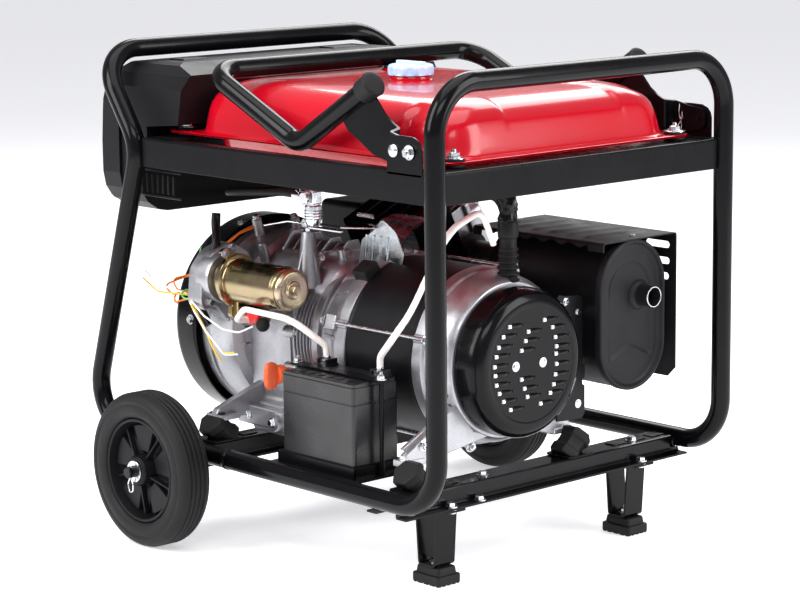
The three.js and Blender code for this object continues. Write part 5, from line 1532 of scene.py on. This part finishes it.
def makeStarter():
    y, z = -165, 327
    at = (0, y, z)
    body = turnedSolid([(0, -149), (23, -149), (24, -148), (24, -133), (34, -131), (35, -130), (35, -125),
        (34, -124), (29.4, -123), (28.6, -121), (28.6, -34), (29, -33), (29, -30), (28.4, -29.2),
                        (28.4, -25), (27.6, -23.6), (25, -22.4), (0, -22.4)], at, (1, 0, 0), 96)
    ears = [soften(prismSolid("X", roundedOutline([(y - 8, z + 24), (y - 30, z + 40), (y - 18, z + 45),
        (y + 8, z + 30)], 5), -131, -125), 0.8, 2),
            soften(prismSolid("X", roundedOutline([(y + 4, z - 30), (y + 22, z - 48), (y + 12, z - 56),
                (y - 16, z - 46), (y - 14, z - 28)], 5), -131, -122), 0.8, 2)]
    coil = turnedSolid([(0, -120), (12.2, -120), (13, -119), (13, -86), (12, -84.6), (0, -84.6)],
        (0, y + 8, z - 44), (1, 0, 0), 48)
    fork = soften(boxSolid(-128, -116, y - 10, y + 18, z - 48, z - 6), 2, 3)
    piece("starterBody", [body, coil, fork] + ears, goldPlate, replaces=("starter_motor",),
          smooth=40)
    cap = turnedSolid([(0, -22.6), (25.4, -22.6), (26.8, -21.6), (27, -19.4), (26.2, -16.6), (24, -14.8),
        (21.5, -14.2), (20.4, -14.6), (19.4, -15.2), (12.5, -15.6), (11.6, -15), (10.6, -12.6),
        (9.8, -12.2), (0, -12.2)],
                      at, (1, 0, 0), 72)
    hexHead = turnedSolid([(0, -12.4), (6.9, -12.4), (6.9, -8), (6.2, -7), (0, -7)], at, (1, 0, 0), 6)
    piece("starterCap", [cap, soften(hexHead, 0.4, 1)], starterGold, smooth=38)
    stampOnPoints("starterBolts", zincBolts, [((-124.6, y - 22, z + 38), (1, 0, 0)),
        ((-121.8, y + 8, z - 50), (1, 0, 0)), ((-84.4, y + 1, z - 44), (1, 0, 0))],
                  fixing(0.0048, 0.004, 0.0062, thick=0.0008), zincPlate)
    boot = loftSolid([[Vector((x, y - 4, z - 45)) + Vector((0, u * 0.9, v)) for u, v in ring2(r, 28)] for x,
        r in
                      ((-98, 7.4), (-97.4, 9.2), (-92, 9.8), (-86, 9.2), (-80, 7.6), (-74, 6.0), (-68, 5.0),
                       (-67.4, 4.2))])
    for v in boot.verts:
        v.co.z += (v.co.x + 98) * 0.18
        v.co.y -= (v.co.x + 98) * 0.34
    piece("redBoot", soften(boot, 0.4, 1, 60), redRubber, smooth=60, weighted=False)
    blackCap = turnedSolid([(0, -6), (7.4, -6), (8.6, -4.8), (9, 0), (8.2, 4.6), (5.8, 7.4), (0, 8.4)],
        (-62, y - 13, z - 49), (0.8, -0.5, 0.1), 32)
    piece("blackBoot", blackCap, softBlack, smooth=60)


def makeBlower():
    shaft = engineLook["shaft"]
    skin = [(0, -293.6), (58, -293.6), (61.5, -293), (70, -287.4), (72, -284), (73.4, -268), (76, -266.3),
            (117, -266), (124, -265), (131, -261), (136.2, -254), (137.6, -248), (137.8, -217), (138, -214),
            (137.4, -212.2), (135.6, -212.2),
            (135.8, -250), (131, -257), (122, -263), (70, -264), (69, -284), (60, -291), (0, -291)]
    shell = plainMesh("blowerShell", turnedSolid(skin, shaft, (1, 0, 0), 128))
    vents = []
    for k in range(14):
        a = math.radians(k * 360 / 14 + 8)
        u, v = Vector((0, math.cos(a), math.sin(a))), Vector((0, -math.sin(a), math.cos(a)))
        mid = shaft + u * 45
        slot = soften(boxSolid(-300, -286, -14, 14, -2.6, 2.6), 1.2, 2)
        turn = Matrix(((1, 0, 0, 0), (0, u.y, v.y, mid.y), (0, u.z, v.z, mid.z), (0, 0, 0, 1)))
        vents.append(moved(slot, turn))
    vents.append(rod(5, shaft + Vector((-276, -35, 35)), shaft + Vector((-276, -75, 75)), 24))
    cutBy(shell, vents)
    dress(shell, glossBlack, replaces=("blower_housing",), smooth=42)
    stampOnPoints("blowerBolts", zincBolts, [(aroundShaft(a, 104, -266.2), (-1, 0, 0)) for a in (30, 100,
        170, 240, 310)] +
                  [(aroundShaft(a, 137.4, -222), (aroundShaft(a, 1) - shaft)) for a in (4, -62, 70)],
                  fixing(0.0048, 0.0038, 0.0066, thick=0.0006), zincPlate)
    grip = soften(boxSolid(-290.5, -276, -17, 17, -6.5, 6.5), 3.4, 4)
    ridges = [soften(boxSolid(-291.4, -275.2, k * 6.4 - 1.2, k * 6.4 + 1.2, -7.2, 7.2), 0.8,
        2) for k in (-2, -1, 0, 1, 2)]
    stem = rod(4.4, (-276, 0, -8), (-276, 0, 6), 20, 1)
    turn = Matrix.Translation((0, -33 - 62, 254 + 62)) @ Matrix.Rotation(math.radians(45), 4, "X")
    shift = Matrix.Translation((0, 0, 2))
    piece("recoilHandle", [moved(p, turn @ shift) for p in [grip, stem] + ridges], softBlack,
          "starter_grip", replaces=(), smooth=50)


def makeHead():
    lean = Matrix.Translation((0, -33, 254)) @ Matrix.Rotation(math.radians(25 - 90), 4, "X")
    sheet = [soften(boxSolid(-150, -8, -88, -85, 118, 187), 1.2, 2),
             soften(boxSolid(-150, -147, -88, 20, 118, 187), 1.2, 2),
             soften(boxSolid(-11, -8, -88, 20, 118, 187), 1.2, 2)]
    for k in range(4):
        x0 = -132 + k * 30
        sheet.append(soften(boxSolid(x0, x0 + 9, -89.4, -84, 126, 180), 1.3, 2))
    piece("shroudSheet", [moved(p, lean) for p in sheet], glossBlack,
          replaces=("cylinder_shroud",), smooth=38)
    parts = [boxSolid(-122, -36, -44, 44, 106.4, 190)]
    for k in range(8):
        z = 108 + k * 10
        parts.append(soften(boxSolid(-130, -28, -52, 52, z, z + 2.6), 0.9, 2, 60))
    parts += [soften(boxSolid(-134, -24, -60, 62, 189, 196), 1.6, 2),
              soften(boxSolid(-128, -30, -52, 56, 196, 224), 2, 2),
              soften(boxSolid(-134, -24, -60, 62, 224, 232), 1.6, 2)]
    for k in range(9):
        x = -124 + k * 11.5
        parts.append(soften(boxSolid(x, x + 2.4, -59, 60, 196, 224), 0.8, 2, 60))
    cover = soften(prismSolid("Z", roundRect(-120, -38, -44, 46, 14, 6), 231, 262), 3, 4)
    parts += [cover]
    ports = [turnedSolid([(0, 0), (7, 0), (7, 12), (5, 14), (5, 24), (0, 25)], (-92, -60, 212), (0, -1, 0),
        24)]
    piece("headCasting", [moved(p, lean) for p in parts + ports], castMetal,
          replaces=("cylinder_head",), smooth=36)
    stampOnPoints("headBolts", zincBolts, [(lean @ Vector((x, y, 262.2)),
        lean.to_3x3() @ Vector((0, 0, 1))) for x in (-110, -48) for y in (-34, 36)],
                  fixing(0.0048, 0.004, 0.0064), zincPlate)
    # galvanised air deflector between the engine and the rail
    sheetRows = []
    for share, y, z in ((0, -66, 346), (0.25, -62, 372), (0.4, -52, 392), (0.6, -38, 404), (0.8, -22, 410),
        (1, -8, 412)):
        sheetRows.append([(x0 + share * 6, y, z) for x0 in (2, 16, 30, 44, 58, 72)])
    bm = bmesh.new()
    addFaces(bm, sheetRows, closed=False, capStart=False, capEnd=False)
    bmesh.ops.solidify(bm, geom=bm.faces[:], thickness=1.2)
    deflector = faceOut(bm)
    plate = soften(prismSolid("Y", roundedOutline([(-2, 350), (34, 346), (78, 352), (84, 372), (70, 400),
        (44, 414), (26, 396), (4, 384)], 6), -66, -64.6), 0.3, 1)
    ridge = [soften(prismSolid("Y", roundedOutline([(8 + k * 13, 352), (12 + k * 13, 352),
        (18 + k * 13, 392), (14 + k * 13, 392)], 1.6), -68, -64), 0.6, 2) for k in range(4)]
    piece("airDeflector", [deflector, plate] + ridge, sheetZinc, smooth=36)


def makeBattery():
    x, y, l, d, base, top = 102, -192, 67.5, 37, 125, 241
    rings = []
    for z, g, r in ((base, 1.2, 4), (base + 1, 0.2, 5), (base + 3, 0, 5), (top - 27, 0, 5),
                    (top - 26.4, 0.9, 5), (top - 25.2, 0.9, 5), (top - 24.6, 0, 5), (top - 5.4, 0, 5),
                    (top - 4.6, 1.1, 5), (top - 4, 1.2, 5), (top - 1, 1.2, 4.6), (top - 0.2, 2, 4),
                    (top, 3.4, 3)):
        rings.append([(px, py, z) for px, py in roundRect(x - l + g, x + l - g, y - d + g, y + d - g, r,
            6)])
    case = loftSolid(rings)
    posts = []
    for s in (-1, 1):
        posts.append(soften(boxSolid(x + s * 50 - 11, x + s * 50 + 11, y + 10, y + 34, top - 1, top + 3),
            1.2, 2))
        posts.append(soften(boxSolid(x + s * 50 - 9.4, x + s * 50 - 6.8, y + 14, y + 33, top, top + 9), 0.8,
            2))
        posts.append(soften(boxSolid(x + s * 50 + 6.8, x + s * 50 + 9.4, y + 14, y + 33, top, top + 9), 0.8,
            2))
    for k in range(6):
        posts.append(turnedSolid([(0, 0), (6.4, 0), (6.4, 0.9), (5.8, 1.3), (0, 1.3)],
            (x - 45 + k * 18, y - 22, top - 0.3), (0, 0, 1), 28))
    piece("batteryCase", [case] + posts, batteryBlack, replaces=("battery",), smooth=38)
    tabs = []
    for s in (-1, 1):
        tabs.append(soften(boxSolid(x + s * 50 - 5.5, x + s * 50 + 5.5, y + 17, y + 29, top + 1, top + 7.4),
            0.6, 2))
    piece("batteryPosts", tabs, zincPlate, smooth=35)
    stampOnPoints("batteryNuts", zincNuts, [((x + s * 50, y + 23, top + 6.6), (0, 0, 1)) for s in (-1,
        1)] + [((x + s * 77.5, y, top + 3.2), (0, 0, 1)) for s in (-1, 1)],
                  fixing(0.005, 0.0042, 0.0068, stud=0.0025, reach=0.004), zincPlate)
    x0, x1, y0, y1 = x - l - 3, x + l + 3, y - d - 2, y + d + 3
    bar = soften(prismSolid("X", roundedOutline([(y - 9, top + 0.4), (y + 9, top + 0.4), (y + 9, top + 3),
        (y - 9, top + 3)], 0.8), x0 - 13, x1 + 13), 0.4, 1, 60)
    rods = [rod(3, (rx, y, base - 3), (rx, y, top + 9), 18, 0.6) for rx in (x0 - 7, x1 + 7)]
    floor = soften(boxSolid(x0 - 12, x1 + 12, -236.6, y1, base - 3, base - 0.4), 0.6, 1)
    walls = [soften(boxSolid(x0 - 2, x1 + 2, y0 - 2, y0 + 0.4, base - 2, base + 14), 0.6, 1),
             soften(boxSolid(x0 - 2, x0 - 0.2, y0 - 2, y1, base - 2, base + 14), 0.6, 1),
             soften(boxSolid(x1 + 0.2, x1 + 2, y0 - 2, y1, base - 2, base + 14), 0.6, 1),
             soften(boxSolid(x0 - 2, x1 + 2, y1 - 2, y1, base - 2, base + 14), 0.6, 1)]
    piece("batteryTray", [bar, floor] + rods + walls, sheetBlack, replaces=("battery_tray",),
          smooth=40)


wireLook = {"lead": 4.0, "wire": 1.25}


def makeLeads():
    def braided(points, bends, name, node):
        line = closeStations(points, bends, 1.3)
        section = lambda i, share: [(u * (1 + 0.035 * math.cos(9 * k / 27 * 2 * math.pi + i * 0.55)),
            v * (1 + 0.035 * math.cos(9 * k / 27 * 2 * math.pi - i * 0.55)))
                                    for k, (u, v) in enumerate(ring2(wireLook["lead"] + 0.25
                                        * math.sin(i * 0.045), 27))]
        piece(name, sweptSolid(line, section), braidWhite, replaces=(node,), smooth=70,
              weighted=False)

    braided([(52, -169, 250), (52, -169, 265), (26, -204, 300), (-66, -205, 302), (-88, -200, 284),
             (-91, -176, 281)], [0, 12, 34, 18, 8, 0], "leadPositive", "lead_positive")
    braided([(152, -169, 250), (152, -169, 265), (222, -182, 330), (256, -150, 430), (240, -80, 446),
             (232, -52, 400)], [0, 14, 60, 40, 26, 0], "leadNegative", "lead_negative")
    w = wireLook["wire"]
    colours = {"wireOrange": (orangeWire, [[(-206, -172, 300), (-224, -190, 306), (-240, -186, 318),
        (-232, -160, 322), (-214, -150, 330), (-206, -140, 352), (-200, -100, 376), (-196, -70, 386)],
                                         [(-206, -170, 303), (-226, -196, 300), (-246, -196, 310),
                                          (-238, -170, 318), (-216, -154, 326), (-204, -144, 348),
                                          (-198, -104, 374), (-190, -74, 384)],
                                         [(-206, -174, 297), (-222, -194, 290), (-238, -200, 296),
                                          (-226, -186, 302), (-208, -172, 304), (-200, -160, 290)]]),
               "wireWhite": (whiteWire, [[(-204, -176, 298), (-236, -206, 312), (-262, -214, 330)],
                   [(-204, -174, 300), (-190, -196, 296), (-168, -206, 286), (-140, -208, 262),
                    (-110, -204, 236), (-92, -196, 238)],
                                         [(-204, -173, 302), (-182, -200, 298), (-150, -204, 282),
                                          (-110, -206, 270), (-84, -200, 268), (-72, -186, 276)]]),
               "wireYellow": (yellowWire, [[(-204, -177, 299), (-240, -210, 304), (-266, -214, 320)],
                   [(-204, -172, 298), (-176, -200, 290), (-148, -206, 268), (-130, -206, 242),
                    (-122, -200, 226)],
                                           [(-204, -178, 300), (-176, -204, 292), (-142, -208, 262),
                                            (-112, -204, 238), (-96, -198, 240)]]),
               "wireGreen": (greenWire, [[(-204, -171, 304), (-214, -190, 308), (-206, -196, 298),
                   (-186, -190, 296), (-176, -176, 300)], [(-200, -164, 326), (-206, -166, 340),
                       (-212, -158, 362)]])}
    for name, (finish, routes) in colours.items():
        piece(name, [tubeSolid(route, w, 9, 10, 15) for route in routes], finish, smooth=70,
              weighted=False)
    tie = turnedSolid([(6.2, -2.4), (7.4, -2.4), (7.8, -1.6), (7.8, 1.6), (7.4, 2.4), (6.2, 2.4)],
        (-208, -174, 301), (-0.75, -0.55, 0.1), 28)
    piece("wireTie", [tie, soften(boxSolid(-204, -198, -186, -180, 299, 304), 1, 2)], smoothBlack,
          smooth=45)
    route = [(-188, -150, 407.6), (-188, -152, 392), (-164, -168, 362), (-200, -178, 300),
             (-178, -176, 262)]
    line = closeStations(route, 40, 1.6)
    spiral = lambda i, share: [(u * (1 + 0.05 * noise.noise(Vector((u, v, i * 0.2)))), v) for u,
        v in ring2(6.2 + 0.5 * math.sin(i * 0.32), 26, 5.0)]
    piece("harnessSleeve", sweptSolid(line, spiral), smoothBlack, replaces=("wiring_harness",),
          smooth=70, weighted=False)


batteryBlack = finishFor("batteryBlack", (0.008, 0.008, 0.009), 0.3, grain=0.012, grainScale=1400,
    wave=0.02, waveScale=60)
starterGold = finishFor("starterGold", (0.46, 0.40, 0.24), 0.3, metallic=1.0, second=(0.50, 0.38, 0.30),
    patch=26, grain=0.01, grainScale=1500)
redRubber = finishFor("redRubber", (0.62, 0.015, 0.012), 0.42, grain=0.02, grainScale=1200)
orangeWire = finishFor("orangeWire", (0.85, 0.20, 0.02), 0.36, wave=0.02, waveScale=400)
whiteWire = finishFor("whiteWire", (0.82, 0.82, 0.80), 0.38, wave=0.02, waveScale=400)
yellowWire = finishFor("yellowWire", (0.80, 0.48, 0.02), 0.38, wave=0.02, waveScale=400)
greenWire = finishFor("greenWire", (0.10, 0.42, 0.10), 0.38, wave=0.02, waveScale=400)
makeCrankcase()
makeStarter()
makeBlower()
makeHead()
print("engine done")
makeBattery()
makeLeads()
print("battery and leads done")


# ---- control housing and its face ----

def housingDetails():
    ribs = [soften(prismSolid("Y", [(x, 604.4), (x, 606.6), (x + 3, 607.4), (x + 30, 607.4),
        (x + 34, 604.4)], y0, y1), 1, 2)
            for x, y0, y1 in ((-268, -160, -120), (-268, 100, 150))]
    for s in (-1, 1):
        y = s * 228
        frameParts = [soften(boxSolid(-247, -161, *sorted((y - s * 1.2, y + s * 0.9)), z0, z1), 0.6,
            1) for z0, z1 in ((434, 437), (467, 470))]
        frameParts += [soften(boxSolid(x, x + 3.4, *sorted((y - s * 1.2, y + s * 1.4)), 440, 464), 0.9,
            2) for x in (-244 + k * 11 for k in range(7))]
        ribs += frameParts
    piece("housingRibs", ribs, grainBlack, smooth=40)


def makePanel():
    x = -323
    parts = [soften(boxSolid(x - 1.5, x + 1, -206, 206, 424, 430), 0.6, 1),
             soften(boxSolid(x - 1.5, x + 1, -206, 206, 580, 583), 0.6, 1)]
    piece("panelTrim", parts, smoothBlack, smooth=40)
    outlet = []
    for z in (464, 520):
        outlet.append(turnedSolid([(15.6, -5), (19.4, -5), (20.8, -3.8), (20.8, -2), (15.6, -2)],
            (x, 140, z), (1, 0, 0), 56))
        for a in (90, 210, 330):
            t = math.radians(a)
            outlet.append(soften(moved(boxSolid(-1, 1.2, -1.2, 1.2, -4, 4),
                Matrix.Translation((x + 6, 140 + 9.5 * math.cos(t),
                    z + 9.5 * math.sin(t))) @ Matrix.Rotation(t, 4, "X")), 0.3, 1))
        outlet.append(turnedSolid([(0, 0), (3, 0), (3, 1.4), (0, 1.4)], (x + 4.6, 140, z), (1, 0, 0), 24))
    piece("outletRings", outlet, smoothBlack, smooth=40)
    bezel = turnedSolid([(24, -4.2), (28, -4.6), (30, -3.8), (30, -1), (24, -1)], (x - 0.4, -130, 527),
        (1, 0, 0), 64)
    piece("meterBezel", bezel, zincPlate, smooth=40)
    dial = turnedSolid([(0, -4.9), (23.6, -4.9), (23.6, -4.5), (0, -4.5)], (x + 0.2, -130, 527), (1, 0, 0),
        48)
    piece("meterDial", dial, whiteWire, smooth=30)
    marks = [moved(boxSolid(-0.3, 0.2, -0.5, 0.5, 16, 21),
                   Matrix.Translation((x - 4.9, -130, 520)) @ Matrix.Rotation(math.radians(-60 + k * 15), 4,
                       "X")) for k in range(9)]
    marks.append(moved(boxSolid(-0.6, 0, -0.5, 0.5, -3, 19),
        Matrix.Translation((x - 4.9, -130, 520)) @ Matrix.Rotation(math.radians(12), 4, "X")))
    piece("meterMarks", marks, softBlack, smooth=30)
    keyRing = turnedSolid([(9.4, -3), (13, -3), (14, -2), (14, 1), (9.4, 1)], (x + 0.6, -30, 535),
        (1, 0, 0), 40)
    piece("keyRing", keyRing, zincPlate, smooth=40)
    bow = soften(prismSolid("Y", roundedOutline([(-351.4, 526), (-351.4, 544), (-330, 544), (-326, 540),
        (-326, 530), (-330, 526)], 4), -31.8, -28.2), 1, 2)
    piece("keyBow", bow, smoothBlack, "key", replaces=(), smooth=40)
    stampOnPoints("panelScrews", zincNuts, [((x - 0.4, y, z), (-1, 0, 0)) for y,
        z in ((-196, 440), (196, 440), (-196, 572), (196, 572), (96, 442), (184, 442), (96, 542),
              (184, 542))],
                  fixing(0.0032, 0.0016, 0.0045, thick=0.0004, stud=0.001, reach=0.0002), zincPlate)


# ---- fuel line, linkage, mounts ----
def makeFittings():
    x, y, z = 8, -150, 447
    body = [turnedSolid([(0, 11), (8, 11), (10, 13), (10, 38), (9, 40), (0, 40)], (x, y, z), (0, 0, 1), 6),
            rod(5.4, (x, y, z + 7), (x, y, z + 13), 20),
            soften(boxSolid(x - 9, x + 9, y - 8, y + 8, z - 9, z + 9), 2.4, 3),
            turnedSolid([(0, -36.6), (7, -36.6), (8.4, -35), (10.4, -30), (11, -26), (11, -11.6),
                         (10.2, -10.4), (9, -9.4), (9, -8), (0, -8)], (x, y, z), (0, 0, 1), 40),
            turnedSolid([(0, 8), (3.4, 8), (3.4, 12), (4.6, 12.6), (3.4, 14), (4.6, 17.4), (3.4, 18.6),
                         (4.2, 22), (3, 26), (0, 26)], (x, y, z), (-1, 0, 0), 24)]
    body += [turnedSolid([(11.1, k * 3.6 - 28), (11.5, k * 3.6 - 27.2), (11.1, k * 3.6 - 26.4),
        (10.6, k * 3.6 - 27.2)], (x, y, z), (0, 0, 1), 40) for k in range(4)]
    piece("fuelCock", body, zincPlate, replaces=("fuel_valve",), smooth=35)
    lever = [turnedSolid([(0, 12.4), (7.4, 12.4), (8, 13), (8, 16), (7, 17), (0, 17)], (x, y, z),
        (0, -1, 0), 32),
             soften(prismSolid("Y", roundedOutline([(x - 24, z - 4), (x - 24, z + 4), (x - 2, z + 3),
                 (x - 2, z - 3)], 2.6), y - 16, y - 12.4), 0.9, 2)]
    piece("cockLever", lever, zincPlate, "valve_lever", replaces=("fuel_valve_lever",), smooth=40)
    route = [(x - 18, y, z), (x - 60, y + 2, z), (x - 184, y + 2, z - 11), (x - 194, y + 60, z - 17),
             (-174, 125.5, 428), (-172, 155.5, 420), (-172, 155.5, 374.4)]
    piece("fuelHose", tubeSolid(route, 4.5, [0, 30, 24, 24, 14, 12, 0], 24, 6), softBlack,
          replaces=("fuel_hose",), smooth=60, weighted=False)
    clamp = [tubeSolid([(x - 22, y + 5.6 * math.cos(a),
        z + 5.6 * math.sin(a)) for a in (k * 0.5 for k in range(12))], 0.7, 1.2, 8, 20),
             tubeSolid([(x - 22, y - 5, z + 4), (x - 24, y - 9, z + 8)], 0.8, 1, 8),
             tubeSolid([(x - 22, y - 2, z + 5.6), (x - 20, y - 5, z + 11)], 0.8, 1, 8)]
    piece("hoseClamp", clamp, zincPlate, smooth=60)
    gx, gy = -55, -105
    arm = [turnedSolid([(0, 0.4), (4, 0.4), (4, 14), (3.2, 15), (0, 15)], (gx, gy, 392), (0, 0, 1), 24),
           soften(prismSolid("Z", roundedOutline([(gx - 7, gy - 5), (gx - 7, gy + 5), (gx + 10, gy + 6),
               (gx + 66, gy + 3.4), (gx + 66, gy - 3.4), (gx + 10, gy - 6)], 3), 397, 399.6), 0.5, 1),
           tubeSolid([(gx, gy - 9, 404), (gx - 4, gy + 2, 409), (gx + 6, gy + 6, 404),
                      (gx + 2, gy - 6, 403)], 1.6, 3, 12, 15)]
    piece("governorLever", arm, zincPlate, "governor", replaces=("governor_arm",), smooth=40)
    nut = turnedSolid([(0, 0), (6.2, 0), (6.2, 5), (5.4, 5.8), (0, 5.8)], (gx, gy - 3, 403.4),
        (0.3, -0.9, 0.1), 6)
    piece("governorNut", nut, zincPlate, "governor", smooth=30)
    links = [tubeSolid([(gx + 62, gy + 1, 403), (gx + 90, gy + 30, 402), (gx + 70, gy + 64, 398),
        (gx + 20, gy + 88, 394)], 1.3, 14, 10, 12),
             tubeSolid([(-116, -128, 396), (-80, -118, 404), (-64, -112, 403), (-59, -108, 401)], 1.2, 10,
                       10, 12)]
    piece("linkRods", links, zincPlate, smooth=60, weighted=False)
    coils = []
    for k in range(70):
        a = k * 0.9
        coils.append((Vector((-20 + k * 0.42, -50 + 2.6 * math.cos(a), 412 + 2.6 * math.sin(a))),
                      Vector((0.42, -2.34 * math.sin(a), 2.34 * math.cos(a))).normalized()))
    piece("governorSpring", sweptSolid(coils, lambda i, share: ring2(0.55, 6)), zincPlate,
          smooth=60, weighted=False)
    stick = [turnedSolid([(0, -10), (7.2, -10), (7.2, 38), (8.4, 38.4), (12, 39), (12.4, 41), (12.4, 47),
        (11.4, 49.6), (7, 50.4), (0, 50.4)], (-62, -108, 210), (0, -1, 0), 40)]
    wing = roundedOutline([(-18, -8), (-19, 6), (-12, 15), (-4, 18), (6, 17), (14, 12), (18, 4), (18, -6),
        (12, -13), (2, -16), (-10, -14)], 5)
    wing = loftSolid([[(-62 + s * w * 1.0 + 0, -108 - y, 210 + v * s) for v, w in wing] for y,
        s in ((46, 0.55), (50, 0.86), (56, 1.0), (62, 0.98), (66, 0.86), (68, 0.6))])
    for v in wing.verts:
        v.co.x = -62 + (v.co.x + 62) * 0.34
    piece("dipstickGrip", stick + [wing], orangeMoulding, "oil_stick",
          replaces=("dipstick",), smooth=50)
    for name, mx, my, side in (("front_near", 249, -203, 1), ("front_far", 249, 66, -1),
        ("rear_near", -134, -196, 1), ("rear_far", -134, 66, -1)):
        at, aim = Vector((mx, my, 132.3)), Vector((0, -side, 1)).normalized()
        block = turnedSolid([(0, -20), (19.4, -20), (21, -18), (21, -9), (18.2, -6), (17.8, 0), (18.2, 6),
            (21, 9), (21, 18), (19.4, 20), (0, 20)], at, aim, 6)
        block = plainMesh(name + "Block", soften(block, 1.6, 2, 30))
        cutBy(block, [boxSolid(mx - 60, mx + 60, my - 70, my + 70, 80, 120.3),
                      boxSolid(mx - 60, mx + 60, my - 70, my + 70, 155.6, 190)])
        dress(block, softBlack, replaces=("mount_" + name,), smooth=36)
        plates = [soften(prismSolid("Z", roundRect(mx - 22, mx + 22, my - 24, my + 24, 6, 5), 120.2, 122.6),
            0.5, 1)]
        piece(name + "Seat", plates, sheetBlack, smooth=40)
    carb = [soften(boxSolid(-187, -157, 135.5, 175.5, 326, 360), 3, 3),
            turnedSolid([(0, 0), (12, 0), (15, 3), (15, 26), (0, 28)], (-172, 155.5, 300), (0, 0, 1), 32),
            rod(12, (-158, 155.5, 341.9), (-134.4, 155.5, 341.9), 32, 1),
            rod(4, (-172, 155.5, 358), (-172, 155.5, 373.8), 20, 0.6),
            rod(3, (-172, 127.5, 341.9), (-172, 137, 341.9), 16, 0.3)]
    piece("carburettorBody", carb, castMetal, replaces=("carburettor",), smooth=38)
    cleaner = [soften(boxSolid(-288, -201.4, 113.5, 224, 308, 391.5), 9, 5),
               soften(boxSolid(-289, -200.4, 112.5, 225, 352, 356), 1.4, 2),
               rod(13, (-203, 155.5, 341.9), (-187.4, 155.5, 341.9), 32, 1)]
    cleaner += [soften(boxSolid(-280 + k * 14, -275 + k * 14, 222, 226.6, 318, 346), 1.2,
        2) for k in range(5)]
    piece("airCleanerBox", cleaner, grainBlack, replaces=("air_cleaner",), smooth=40)


housingDetails()
makePanel()
makeFittings()
print("housing, panel and fittings done")
